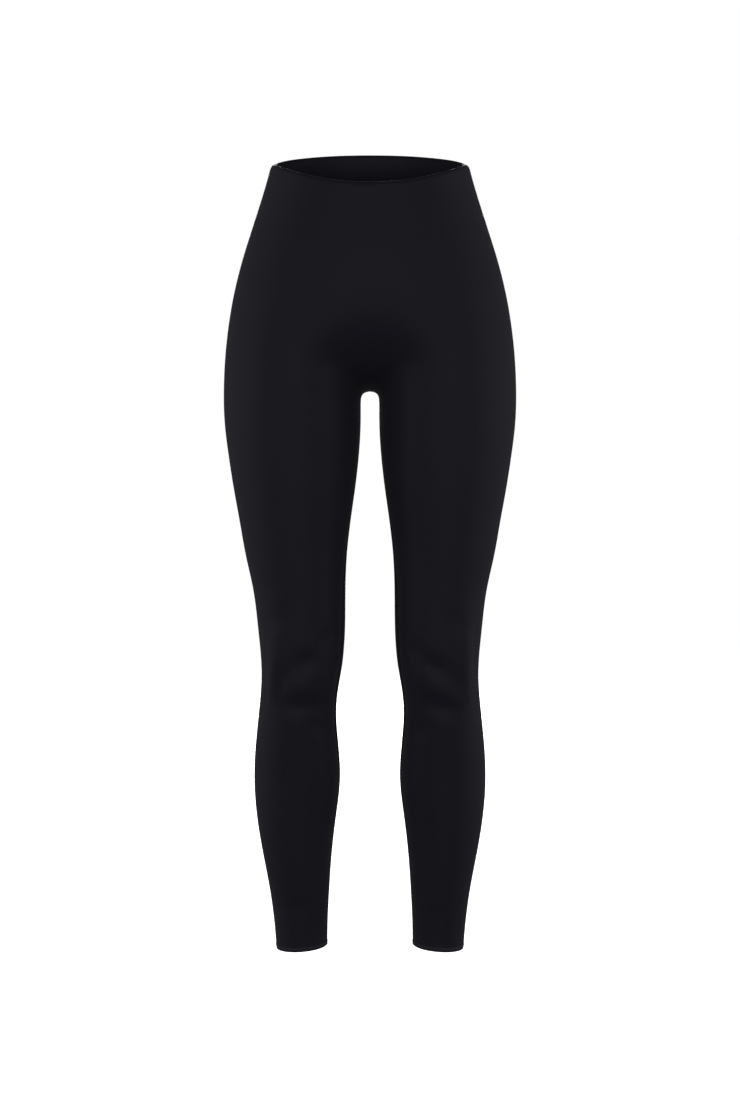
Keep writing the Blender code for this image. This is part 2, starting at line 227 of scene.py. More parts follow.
@dataclass
class WornForm:
    """The cloth's outer face: an oval hip and two oval legs that melt into each other at the crotch."""

    rim_height: float = 0.0
    band_depth: float = 0.070
    crotch_height: float = -0.265
    hem_height: float = -0.9343
    rim_side: float = 0.0045
    rim_front: float = -0.0140
    rim_back: float = 0.0120
    rim_power_front: float = 2.25
    rim_power_back: float = 1.15
    rim_fade: tuple[float, float] = (-0.200, -0.070)
    hem_drop_front: float = 0.0022
    hem_drop_out: float = 0.0024
    hem_fade: tuple[float, float] = (-0.800, -0.920)
    leg_squareness: float = 2.10
    crotch_y: float = 0.0
    hip_fade: float = 0.020
    join_softness: float = 0.0055
    underside_drop: float = 0.013
    underside_rise_front: float = 10.5
    underside_rise_back: float = 3.5
    underside_fall: float = 7.0
    underside_softness: float = 0.010
    side_seam_behind: float = math.radians(7)
    row_climb: float = 0.030
    row_climb_share: float = 0.95
    hip_row_gather: float = 1.7
    centre_pull: float = 0.3
    centre_pull_height: float = 0.03
    fade_at_crotch: float = field(init=False)

    BISECTIONS = 44
    NEWTON_STEPS = 4
    LONGEST_REACH = 2.6
    PAST_THE_CLOTH = 0.16
    SLOPE_STEP = 0.0001
    JUST_ABOVE = 1e-7

    def __post_init__(self) -> None:
        """Makes the section curves and finds the crotch point."""
        self.hip = {name: Spline(HIP_SECTIONS, name) for name in HipSection._fields[1:]}
        self.leg = {name: Spline(LEG_SECTIONS, name) for name in LegSection._fields[1:]}
        crotch = np.array([0.0, self.crotch_y, self.crotch_height])
        without_leg = 1 - math.exp(-self.outside_leg(*crotch) / self.join_softness)
        with_hip = math.exp(-self.outside_hip(*crotch) / self.join_softness) - 1
        self.fade_at_crotch = math.log(without_leg / with_hip)

    @property
    def waist_height(self) -> float:
        """The height of the waist seam."""
        return self.rim_height - self.band_depth

    @property
    def leg_length(self) -> float:
        """How far the hem lies below the row that meets the crotch, at the side seam."""
        return self.row_climb + self.crotch_height - self.hem_height

    def leg_oval(self, z: np.ndarray) -> Oval:
        """Centre x and y, half the width and half the depth of the left leg's section at z."""
        outer, inner, front, back = (self.leg[name](z) for name in LegSection._fields[1:5])
        return (outer + inner) / 2, (front + back) / 2, (outer - inner) / 2, (back - front) / 2

    def outside_leg(self, x: np.ndarray, y: np.ndarray, z: np.ndarray) -> np.ndarray:
        """About how far points lie outside the nearer leg's oval.

        Args:
            x: their places across.
            y: their places from front to back.
            z: their heights.

        Returns:
            One distance a point, negative inside.
        """
        centre_x, centre_y, half_width, half_depth = self.leg_oval(z)
        across = np.abs(np.abs(x) - centre_x) / half_width
        along = np.abs(y - centre_y) / half_depth
        power = self.leg_squareness
        return ((across**power + along**power) ** (1 / power) - 1) * np.sqrt(half_width * half_depth)

    def outside_hip(self, x: np.ndarray, y: np.ndarray, z: np.ndarray) -> np.ndarray:
        """About how far points lie outside the hip's oval or under its round underside.

        Args:
            x: their places across.
            y: their places from front to back.
            z: their heights.

        Returns:
            One distance a point, negative inside.
        """
        half_width, front, back, power = (self.hip[name](z) for name in HipSection._fields[1:])
        across = np.abs(x) / half_width
        along = np.abs(y) / np.where(y < 0, front, back)
        radius = np.sqrt(half_width * (front + back) / 2)
        beside = ((across**power + along**power) ** (1 / power) - 1) * radius
        rise = np.where(y < self.crotch_y, self.underside_rise_front, self.underside_rise_back)
        ahead = y - self.crotch_y
        lowest = self.crotch_height - self.underside_drop + rise * ahead**2 - self.underside_fall * x**2
        steepness = np.sqrt(1 + (2 * rise * ahead) ** 2 + (2 * self.underside_fall * x) ** 2)
        soft = self.underside_softness
        return soft * np.logaddexp(beside / soft, (lowest - z) / steepness / soft)

    def outside(self, points: np.ndarray) -> np.ndarray:
        """About how far points lie outside the outer face, negative inside.

        Args:
            points: points, with x, y and z on the last axis.

        Returns:
            One distance a point.
        """
        x, y, z = np.moveaxis(points, -1, 0)
        fade = self.fade_at_crotch + (z - self.crotch_height) / self.hip_fade
        leg = -np.logaddexp(0, fade) - self.outside_leg(x, y, z) / self.join_softness
        hip = -np.logaddexp(0, -fade) - self.outside_hip(x, y, z) / self.join_softness
        return -self.join_softness * np.logaddexp(leg, hip)

    def slope(self, points: np.ndarray) -> np.ndarray:
        """The gradient of outside().

        Args:
            points: where it is measured.

        Returns:
            One vector a point.
        """
        slopes = []
        for axis in range(3):
            step = np.zeros(3)
            step[axis] = self.SLOPE_STEP
            slopes.append(self.outside(points + step) - self.outside(points - step))
        return np.stack(slopes, axis=-1) / (2 * self.SLOPE_STEP)

    def normals(self, points: np.ndarray) -> np.ndarray:
        """Unit normals of the outer face at points on it."""
        slopes = self.slope(points)
        return slopes / np.linalg.norm(slopes, axis=-1, keepdims=True)

    def settle(self, points: np.ndarray) -> np.ndarray:
        """Moves points onto the outer face, along its slope.

        Args:
            points: points near it.

        Returns:
            The points on it.
        """
        for _ in range(self.NEWTON_STEPS):
            slope = self.slope(points)
            points = points - slope * (self.outside(points) / (slope**2).sum(-1))[..., None]
        return points

    def root(self, function: Callable, inside: np.ndarray, beyond: np.ndarray) -> np.ndarray:
        """Where a function turns from negative to positive.

        Args:
            function: the function.
            inside: values where it is negative.
            beyond: values where it is positive.

        Returns:
            The values between, where it is nought.
        """
        inside = np.array(inside, dtype=float)
        beyond = np.array(beyond, dtype=float)
        for _ in range(self.BISECTIONS):
            middle = (inside + beyond) / 2
            negative = function(middle) < 0
            inside = np.where(negative, middle, inside)
            beyond = np.where(negative, beyond, middle)
        return (inside + beyond) / 2

    def centre_line(self, z: np.ndarray, face: Face) -> np.ndarray:
        """The centre front's or centre back's line.

        Args:
            z: heights above the crotch.
            face: the front or back.

        Returns:
            The y of the line at each height.
        """
        z = np.maximum(z, self.crotch_height + self.JUST_ABOVE)

        def outside_at(length: np.ndarray) -> np.ndarray:
            """How far outside the cloth a length out from the crotch's line is."""
            return self.outside(np.stack([0 * z, self.crotch_y + face.value * length, z], axis=-1))

        reach = self.root(outside_at, 0 * z, np.full_like(z, self.PAST_THE_CLOTH))
        return self.crotch_y + face.value * reach

    def rim_lift(self, turn: np.ndarray) -> np.ndarray:
        """The height of the waist's rim over the origin.

        Args:
            turn: angles from the centre front.

        Returns:
            The height at each.
        """
        ahead = np.cos(turn)
        front = (self.rim_front - self.rim_side) * np.maximum(ahead, 0) ** self.rim_power_front
        back = (self.rim_back - self.rim_side) * np.maximum(-ahead, 0) ** self.rim_power_back
        return self.rim_side + front + back

    def hem_drop(self, angle: np.ndarray) -> np.ndarray:
        """How far the ankle's edge hangs below its middle, at angles round the leg from its inside."""
        return self.hem_drop_front * np.sin(angle) - self.hem_drop_out * np.cos(angle)

    def lowered(self, above_hem: np.ndarray) -> np.ndarray:
        """How much rows at heights above the hem's edge follow its drop, from 0 to 1."""
        start, end = self.hem_fade
        return smooth_step((above_hem + self.hem_height - start) / (end - start))

    def band_row(self, depth: float) -> Row:
        """The row of the waistband this far below the rim."""
        return Row(self.rim_height - depth, self.rim_height - depth)

    def hip_row(self, share: float) -> Row:
        """A row of the hip.

        Args:
            share: its place, from 0 at the crotch to 1 at the waist seam.

        Returns:
            The row.
        """
        inner_height = self.waist_height - self.crotch_height
        outer = self.crotch_height + self.row_climb + (inner_height - self.row_climb) * share
        return Row(outer, self.crotch_height + inner_height * share**self.hip_row_gather)

    def leg_row(self, drop: float) -> Row:
        """A row of the leg, this far below the crotch's row at the side seam."""
        outer = self.crotch_height + self.row_climb - drop
        return Row(outer, outer - self.row_climb * math.exp(-drop / self.row_climb))

    def row_oval(self, inner: np.ndarray, z: np.ndarray) -> Oval:
        """The oval that spreads a row's points: the leg's, drawn to the body's middle above the crotch.

        Args:
            inner: the rows' heights at their inner ends.
            z: heights along the rows.

        Returns:
            Centre x and y, half the width and half the depth.
        """
        centre_x, centre_y, half_width, half_depth = self.leg_oval(z)
        raised = smooth_step((inner - self.crotch_height) / self.centre_pull_height)
        pulled = self.centre_pull * centre_x * raised
        return centre_x - pulled, centre_y, half_width + pulled, half_depth

    def row_starts(
        self, inner: np.ndarray, height: np.ndarray, face: Face
    ) -> tuple[np.ndarray, np.ndarray]:
        """Where rows start.

        Args:
            inner: the rows' heights at their inner ends.
            height: their first points' heights.
            face: the front or back half.

        Returns:
            The angle round each row's oval from its inner side, and the reach to there.
        """
        centre_x, centre_y, half_width, half_depth = self.row_oval(inner, height)
        to_start = (centre_y - self.centre_line(height, face)) / half_depth
        across = centre_x / half_width
        to_inseam = np.clip((centre_y - self.leg["inseam"](height)) / half_depth, -1, 1)
        above = inner >= self.crotch_height
        angle = np.where(above, np.arctan2(to_start, across), np.arcsin(to_inseam))
        return angle, np.where(above, np.hypot(to_start, across), across)

    def half_rows(self, rows: Sequence[Row], face: Face, samples: int) -> np.ndarray:
        """Rows of the left half, from the inner side to the side seam, evenly turned round the leg.

        Args:
            rows: the rows.
            face: the front or back half.
            samples: how many steps each has.

        Returns:
            Their points, on the outer face.
        """
        outer = side_heights(rows)
        inner = inner_heights(rows)
        share = np.linspace(0, 1, samples + 1)
        front = face is Face.FRONT
        turn = math.pi / 2 * share if front else math.pi - math.pi / 2 * share
        seam = math.pi + self.side_seam_behind if front else self.side_seam_behind - math.pi
        climbing = np.cos(math.pi / 2 * np.minimum(share / self.row_climb_share, 1)) ** 2
        faded = (outer - self.rim_fade[0]) / (self.rim_fade[1] - self.rim_fade[0])
        level = outer + self.rim_lift(turn) * smooth_step(faded)
        level = level - self.hem_drop(share * seam) * self.lowered(outer - self.hem_height)
        aimed = level + (inner - outer) * climbing
        start, start_reach = self.row_starts(inner, aimed[:, :1], face)
        angle = start + (seam - start) * share
        centre_x, centre_y, half_width, half_depth = self.row_oval(inner, aimed)
        aside = -np.cos(angle) * half_width
        along = -np.sin(angle) * half_depth
        down = (aimed - level) / start_reach
        centre = np.stack([centre_x, centre_y, level], axis=-1)
        way = np.stack([aside, along, down], axis=-1)
        inward = np.maximum(-aside, self.JUST_ABOVE)
        to_middle = np.where(aside < 0, centre_x / inward, self.LONGEST_REACH)
        reach = self.root(
            lambda length: self.outside(centre + way * length[..., None]),
            np.zeros_like(level),
            np.minimum(to_middle, self.LONGEST_REACH),
        )
        lines = centre + way * reach[..., None]
        above = inner[:, 0] >= self.crotch_height
        at_crotch = inner[:, 0] == self.crotch_height
        heights = aimed[above, 0]
        lines[above, 0] = np.stack([0 * heights, self.centre_line(heights, face), heights], axis=-1)
        lines[at_crotch, 0] = 0, self.crotch_y, self.crotch_height
        return lines

    def half_grid(self, rows: Sequence[Row], face: Face, steps: Steps) -> tuple[np.ndarray, np.ndarray]:
        """The left half's points, with columns at set distances from its two long edges.

        Args:
            rows: the rows, from the top down.
            face: the front or back half.
            steps: where the columns stand.

        Returns:
            Points, rows by columns, and each one's distance along its row.
        """
        lines = self.half_rows(rows, face, steps.samples)
        lengths = lengths_along(lines)
        distances = np.array([steps.across(length[-1]) for length in lengths])
        points = np.array(
            [
                np.stack([np.interp(wanted, length, line[:, k]) for k in range(3)], axis=-1)
                for line, length, wanted in zip(lines, lengths, distances)
            ]
        )
        settled = self.settle(points)
        ends = [0, -1]
        settled[:, ends] = points[:, ends]
        return settled, distances


class Crease(NamedTuple):
    """A soft trough across a leg, or a soft ridge where its depth is negative.

    The angle runs from the leg's front, 0, to its outer side, 90 degrees, and on to its back. The tilt
    is how much its outer end drops, in degrees. The reach is about half its length, the spread half its
    width, and the bow how far its middle hangs below its ends.
    """

    z: float
    angle: float
    tilt: float
    reach: float
    spread: float
    depth: float
    bow: float = 0.0


KNEE_CREASES = {
    Side.RIGHT: (
        Crease(-0.556, -31, 47, 0.015, 0.0075, 0.0029),
        Crease(-0.587, -4, 33, 0.021, 0.0110, 0.0040, -0.003),
        Crease(-0.602, 24, 86, 0.020, 0.0060, 0.0021),
        Crease(-0.594, -21, 20, 0.010, 0.0080, -0.0006),
        Crease(-0.593, 13, 0, 0.009, 0.0080, -0.0003),
        Crease(-0.632, -4, -4, 0.026, 0.0105, 0.0040, 0.003),
        Crease(-0.588, 38, 88, 0.036, 0.0092, -0.0040),
        Crease(-0.660, -30, -20, 0.022, 0.0090, 0.0013),
        Crease(-0.528, 30, 30, 0.026, 0.0110, 0.0013, 0.004),
    ),
    Side.LEFT: (
        Crease(-0.568, -30, 45, 0.014, 0.0080, 0.0029),
        Crease(-0.590, -3, 38, 0.019, 0.0105, 0.0036, -0.002),
        Crease(-0.606, 22, 80, 0.018, 0.0065, 0.0016),
        Crease(-0.598, -24, 24, 0.010, 0.0080, -0.0005),
        Crease(-0.634, 0, 17, 0.022, 0.0105, 0.0038, 0.002),
        Crease(-0.576, 37, 90, 0.048, 0.0098, -0.0046),
        Crease(-0.664, -34, -24, 0.022, 0.0090, 0.0013),
        Crease(-0.536, 32, 26, 0.024, 0.0110, 0.0013, 0.003),
    ),
}

BACK_KNEE_CREASES = {
    Side.RIGHT: (
        Crease(-0.560, 178, 12, 0.036, 0.0085, 0.0024, 0.005),
        Crease(-0.586, 190, -9, 0.040, 0.0075, 0.0036, 0.003),
        Crease(-0.612, 170, 6, 0.034, 0.0070, 0.0030, -0.004),
        Crease(-0.640, 192, 16, 0.026, 0.0080, 0.0018, -0.003),
        Crease(-0.523, 194, -20, 0.028, 0.0100, 0.0014, 0.004),
        Crease(-0.598, 128, -24, 0.017, 0.0070, 0.0014, 0.002),
        Crease(-0.572, 214, 28, 0.018, 0.0070, 0.0016, 0.0),
    ),
    Side.LEFT: (
        Crease(-0.565, 186, -10, 0.038, 0.0085, 0.0026, 0.004),
        Crease(-0.592, 172, 9, 0.038, 0.0072, 0.0034, 0.004),
        Crease(-0.619, 190, -6, 0.030, 0.0072, 0.0026, -0.003),
        Crease(-0.648, 170, -15, 0.028, 0.0080, 0.0016, -0.004),
        Crease(-0.530, 168, 21, 0.030, 0.0100, 0.0014, 0.005),
        Crease(-0.604, 124, 20, 0.019, 0.0070, 0.0012, 0.002),
        Crease(-0.578, 216, 24, 0.016, 0.0070, 0.0016, 0.0),
    ),
}

ANKLE_CREASES = {
    Side.RIGHT: (
        Crease(-0.880, 10, 8, 0.020, 0.0065, 0.0005, 0.002),
        Crease(-0.898, 172, -10, 0.024, 0.0055, 0.0010, 0.002),
        Crease(-0.876, 194, 8, 0.022, 0.0060, 0.0010, -0.002),
        Crease(-0.855, 166, -5, 0.018, 0.0065, 0.0006, 0.001),
    ),
    Side.LEFT: (
        Crease(-0.885, -6, -9, 0.018, 0.0065, 0.0005, 0.002),
        Crease(-0.893, 188, 9, 0.024, 0.0055, 0.0010, 0.002),
        Crease(-0.870, 170, -8, 0.020, 0.0060, 0.0008, -0.001),
        Crease(-0.850, 192, 6, 0.018, 0.0065, 0.0006, 0.002),
    ),
}

UNDER_SEAT_CREASES = {
    Side.RIGHT: (
        Crease(-0.292, 200, -12, 0.034, 0.0100, 0.0019, 0.006),
        Crease(-0.330, 216, -24, 0.024, 0.0090, 0.0010, 0.003),
    ),
    Side.LEFT: (
        Crease(-0.297, 203, -14, 0.031, 0.0100, 0.0019, 0.005),
        Crease(-0.338, 213, -19, 0.027, 0.0090, 0.0010, 0.004),
    ),
}

CREASE_TABLES = (KNEE_CREASES, BACK_KNEE_CREASES, ANKLE_CREASES, UNDER_SEAT_CREASES)


@dataclass(frozen=True)
class Relief:
    """How far the cloth's face stands out from the worn form, or sinks into it."""

    form: WornForm
    banks: float = 0.20
    trough_width: float = 1.6
    flat_seam_half: float = 0.0023
    flat_seam_lift: float = 0.00030
    flat_seam_edge: float = 0.0007
    furrow: float = 0.00028
    furrow_from_seam: float = 0.0034
    furrow_spread: float = 0.0010
    pucker: float = 0.00012
    pucker_length: float = 0.013
    slow_pucker: float = 0.6
    slow_pucker_length: float = 0.0221
    slow_pucker_start: float = 1.3
    pucker_reach: float = 0.0060
    waist_groove: float = 0.00003
    waist_groove_spread: float = 0.0009
    waist_ridge: float = 0.00022
    waist_ridge_spread: float = 0.0060
    rim_roll: float = 0.0012
    rim_roll_depth: float = 0.0045
    corner_roll: float = 0.0034
    corner_roll_depth: float = 0.0090
    corner_reach: float = 0.030

    def creases(self, points: np.ndarray, side: Side) -> np.ndarray:
        """The depth of all creases at points of one leg.

        Args:
            points: points of the left half's form.
            side: whose creases, as the left half serves both.

        Returns:
            How far each point moves along its normal.
        """
        x, y, z = np.moveaxis(points, -1, 0)
        centre_x, centre_y, half_width, half_depth = self.form.leg_oval(z)
        angle = np.arctan2(x - centre_x, centre_y - y)
        radius = np.sqrt(half_width * half_depth)
        total = np.zeros_like(z)
        for table in CREASE_TABLES:
            for crease in table[side]:
                turned = angle - math.radians(crease.angle)
                across = radius * np.arctan2(np.sin(turned), np.cos(turned))
                up = z - crease.z
                tilt = math.radians(crease.tilt)
                along = (across * math.cos(tilt) - up * math.sin(tilt)) / crease.reach
                hanging = crease.bow * (1 - along**2)
                aside = (up * math.cos(tilt) + across * math.sin(tilt) + hanging) / crease.spread
                trough = (1 - self.banks * aside**2) * np.exp(-(aside**2) / self.trough_width)
                total = total - crease.depth * trough * np.exp(-(along**2))
        return total

    def flat_seam(self, distance: np.ndarray, along: np.ndarray) -> np.ndarray:
        """The raised flat seam with its furrows and puckers.

        Args:
            distance: each point's distance from the seam's line.
            along: its place along the seam.

        Returns:
            How far each point moves along its normal.
        """
        to_edge = (self.flat_seam_half - distance) / self.flat_seam_edge
        band = self.flat_seam_lift * smooth_step(to_edge + 1)
        furrow = self.furrow * np.exp(-(((distance - self.furrow_from_seam) / self.furrow_spread) ** 2))
        turn = 2 * math.pi * along
        slow = np.sin(turn / self.slow_pucker_length + self.slow_pucker_start)
        wave = np.sin(turn / self.pucker_length) + self.slow_pucker * slow
        return band - furrow + self.pucker * wave * np.exp(-distance / self.pucker_reach)

    def rolled(self, depth: np.ndarray, to_side: np.ndarray) -> np.ndarray:
        """How far the waist's rim curls in.

        Args:
            depth: depths below the rim.
            to_side: distances from the side seam.

        Returns:
            How far each point moves in along its normal.
        """
        rim = self.rim_roll * np.clip(1 - depth / self.rim_roll_depth, 0, 1) ** 2
        corner = self.corner_roll * np.clip(1 - depth / self.corner_roll_depth, 0, 1) ** 2
        return rim + corner * np.exp(-((to_side / self.corner_reach) ** 2))

    def waist_seam(self, distance: np.ndarray) -> np.ndarray:
        """The waist seam's narrow groove on the soft ridge of its allowances, by the distance from it."""
        ridge = self.waist_ridge * np.exp(-((distance / self.waist_ridge_spread) ** 2))
        return ridge - self.waist_groove * np.exp(-((distance / self.waist_groove_spread) ** 2))


@dataclass(frozen=True)
class Hem:
    """The narrow turned hem at the ankle, by heights above its edge."""

    depth: float = 0.0080
    wall: float = 0.0020
    lift: float = 0.00045
    lift_fade: float = 0.0012
    stitch_rows: tuple[float, ...] = (0.0028, 0.0058)
    stitch_sink: float = 0.00035
    stitch_spread: float = 0.0007
    tunnel: float = 0.00035
    tunnel_spread: float = 0.0011
    row_heights: tuple[float, ...] = (
        0.0, 0.0007, 0.0014, 0.0021, 0.0028, 0.0035, 0.0043, 0.0051,
        0.0058, 0.0065, 0.0071, 0.0077, 0.0085, 0.0098, 0.0118, 0.0145,
    )

    @property
    def middle(self) -> float:
        """The height midway between the rows of stitches."""
        return sum(self.stitch_rows) / len(self.stitch_rows)

    def relief(self, above_edge: np.ndarray) -> np.ndarray:
        """How far the hem's face stands out.

        Args:
            above_edge: heights above the hem's edge.

        Returns:
            How far each point moves along its normal.
        """
        raised = self.lift * smooth_step((self.depth - above_edge) / self.lift_fade)
        sunk = sum(
            self.stitch_sink * np.exp(-(((above_edge - height) / self.stitch_spread) ** 2))
            for height in self.stitch_rows
        )
        swell = self.tunnel * np.exp(-(((above_edge - self.middle) / self.tunnel_spread) ** 2))
        return raised - sunk + swell


@dataclass(frozen=True)
class Cloth:
    """The finishes of a cloth's right side, which shows, and of its wrong side, which is coloured lighter:
    partly the knit's paler back face, partly painted light on the inside.
    """

    right_side: bpy.types.Material
    wrong_side: bpy.types.Material


class Wall:
    """A closed wall of cloth between two matching sheets of points, with rounded edges."""

    ROUND_STEPS = 4

    def __init__(self, name: str) -> None:
        """Starts an empty wall.

        Args:
            name: the piece's name.
        """
        self.name = name
        self.outer: list[np.ndarray] = []
        self.inner: list[np.ndarray] = []
        self.rounds: list[np.ndarray] = []
        self.quads: list[np.ndarray] = []
        self.cloth: list[np.ndarray] = []
        self.count = 0
        self.area = 0.0

    def add(
        self,
        outer: np.ndarray,
        inner: np.ndarray,
        rounds: np.ndarray,
        cloth: np.ndarray,
        flip: bool,
        shared: tuple[np.ndarray, np.ndarray] | None = None,
    ) -> np.ndarray:
        """Adds one grid of points to the wall.

        Args:
            outer: its outer points, rows by columns.
            inner: its inner points.
            rounds: how round each point's edge is, against half the wall.
            cloth: each point's place on the flat cloth, in metres.
            flip: whether its quads turn the other way.
            shared: a mask of the points that an earlier grid has, and those points' numbers.

        Returns:
            The points' numbers.
        """
        rows, columns = outer.shape[:2]
        index = np.empty((rows, columns), dtype=np.int64)
        new = np.ones((rows, columns), dtype=bool)
        if shared is not None:
            mask, numbers = shared
            new[mask] = False
            index[mask] = numbers
        index[new] = self.count + np.arange(int(new.sum()))
        self.count += int(new.sum())
        self.outer.append(outer[new])
        self.inner.append(inner[new])
        self.rounds.append(rounds[new])
        corners = (index[:-1, :-1], index[1:, :-1], index[1:, 1:], index[:-1, 1:])
        places = (cloth[:-1, :-1], cloth[1:, :-1], cloth[1:, 1:], cloth[:-1, 1:])
        quads = np.stack(corners, axis=-1).reshape(-1, 4)
        flats = np.stack(places, axis=-2).reshape(-1, 4, 2)
        self.quads.append(quads[:, ::-1] if flip else quads)
        self.cloth.append(flats[:, ::-1] if flip else flats)
        return index

    def edges(self, quads: np.ndarray) -> np.ndarray:
        """The open edges of the sheet.

        Args:
            quads: its faces.

        Returns:
            Two points an edge, in the order that its quad has them.
        """
        turns = [np.stack([quads[:, i], quads[:, (i + 1) % 4]], axis=-1) for i in range(4)]
        directed = np.concatenate(turns)
        ordered = np.sort(directed, axis=1)
        _, inverse, counts = np.unique(ordered, axis=0, return_inverse=True, return_counts=True)
        return directed[counts[inverse.reshape(-1)] == 1]

    def edge_reach(self, outer: np.ndarray, through: np.ndarray, open_edges: np.ndarray) -> np.ndarray:
        """How far the round of an open edge stands out from the points that carry it.

        Args:
            outer: the outer points.
            through: the way from each inner point to its outer one.
            open_edges: the sheet's open edges.

        Returns:
            One vector a point, nought away from the edges.
        """
        start, end = open_edges.T
        outward = np.cross(outer[end] - outer[start], through[start] + through[end])
        outward /= np.linalg.norm(outward, axis=1, keepdims=True)
        away = np.zeros_like(outer)
        np.add.at(away, start, outward)
        np.add.at(away, end, outward)
        length = np.linalg.norm(away, axis=1, keepdims=True)
        away = np.divide(away, length, out=np.zeros_like(away), where=length > 0)
        half = np.linalg.norm(through, axis=1) / 2
        return away * (np.concatenate(self.rounds) * half)[:, None]

    def build(self, cloth: Cloth) -> bpy.types.Object:
        """Makes the wall's object.

        Args:
            cloth: the finishes of the cloth's two sides.

        Returns:
            The finished piece, with the cloth's flat places as its UV map.
        """
        outer = np.concatenate(self.outer)
        inner = np.concatenate(self.inner)
        quads = np.concatenate(self.quads)
        flats = np.concatenate(self.cloth)
        diagonals = [outer[quads[:, i + 2]] - outer[quads[:, i]] for i in range(2)]
        self.area = float(np.linalg.norm(np.cross(*diagonals), axis=1).sum() / 2)
        open_edges = self.edges(quads)
        through = outer - inner
        reach = self.edge_reach(outer, through, open_edges)
        outer = outer - reach
        inner = inner - reach
        count = len(outer)
        rim = np.unique(open_edges)
        place = np.full(count, -1)
        place[rim] = np.arange(len(rim))
        points = [outer, inner]
        rings = [np.arange(count)]
        for step in range(1, self.ROUND_STEPS):
            turn = math.pi * step / self.ROUND_STEPS
            middle = (outer[rim] + inner[rim]) / 2
            points.append(middle + through[rim] / 2 * math.cos(turn) + reach[rim] * math.sin(turn))
            rings.append(2 * count + (step - 1) * len(rim) + place)
        rings.append(count + np.arange(count))
        start, end = open_edges.T
        strips = [
            np.stack([above[end], above[start], below[start], below[end]], axis=-1)
            for above, below in zip(rings[:-1], rings[1:])
        ]
        flat_of = np.zeros((count, 2))
        flat_of[quads.reshape(-1)] = flats.reshape(-1, 2)
        strip_flats = np.stack([flat_of[end], flat_of[start], flat_of[start], flat_of[end]], axis=1)
        all_faces = np.concatenate([quads, count + quads[:, ::-1], *strips])
        all_flats = np.concatenate([flats, flats[:, ::-1]] + [strip_flats] * len(strips))
        made = mesh_object(self.name, np.concatenate(points), all_faces, cloth.right_side, all_flats)
        # The inner sheet gets the wrong side's finish, whose lighter colour is partly painted light.
        made.data.materials.append(cloth.wrong_side)
        sides = np.zeros(len(all_faces), dtype=np.int32)
        sides[len(quads) : 2 * len(quads)] = 1
        made.data.polygons.foreach_set("material_index", sides)
        return made


def in_scene(made: bpy.types.Object) -> bpy.types.Object:
    """The object, linked to the scene."""
    bpy.context.scene.collection.objects.link(made)
    return made


SHARP_FROM = math.radians(60)


def mesh_object(
    name: str,
    points: np.ndarray,
    faces: np.ndarray,
    material: bpy.types.Material,
    flats: np.ndarray | None = None,
) -> bpy.types.Object:
    """A smooth-shaded mesh object at the origin.

    Args:
        name: its name.
        points: its points.
        faces: its quads.
        material: its finish.
        flats: each face corner's place on the flat cloth.

    Returns:
        The object, in the scene.
    """
    mesh = bpy.data.meshes.new(name)
    mesh.from_pydata(points.tolist(), [], faces.tolist())
    if flats is not None:
        layer = mesh.uv_layers.new(name="cloth")
        layer.data.foreach_set("uv", flats.astype(np.float32).reshape(-1))
    mesh.shade_smooth()
    mesh.set_sharp_from_angle(angle=SHARP_FROM)
    mesh.materials.append(material)
    return in_scene(bpy.data.objects.new(name, mesh))


def operator(operation: str) -> Callable:
    """A Python operator of Value.

    Args:
        operation: the Math node's operation.

    Returns:
        The method.
    """

    def apply(self: "Value", other: Any) -> "Value":
        """One Math node on this value and other."""
        return self.math(operation, other)

    return apply


class Value:
    """A shader number that takes part in Python expressions, each of which adds its Math nodes."""

    def __init__(self, tree: "ShaderTree", socket: bpy.types.NodeSocket) -> None:
        """Wraps one socket of a tree."""
        self.tree = tree
        self.socket = socket

    def math(self, operation: str, *others: Any) -> "Value":
        """One Math node on this value and the others."""
        inputs = {i + 1: other for i, other in enumerate(others)}
        return self.tree.node("ShaderNodeMath", {"operation": operation}, {0: self, **inputs})

    def __rsub__(self, other: Any) -> "Value":
        """Other less this."""
        return self.tree.node("ShaderNodeMath", {"operation": "SUBTRACT"}, {0: other, 1: self})

    __add__ = __radd__ = operator("ADD")
    __mul__ = __rmul__ = operator("MULTIPLY")
    __sub__ = operator("SUBTRACT")
    __truediv__ = operator("DIVIDE")

    def fraction(self) -> "Value":
        """What is over the last whole number."""
        return self.math("FRACT")

    def size(self) -> "Value":
        """The value without its sign."""
        return self.math("ABSOLUTE")

    def wave(self) -> "Value":
        """A sine that repeats each whole number, from 0 to 1."""
        return (self * (2 * math.pi)).math("SINE") * 0.5 + 0.5


Colour = tuple[float, float, float]
FIBRE_DETAIL = 2.0
FIBRE_ROUGHNESS = 0.6


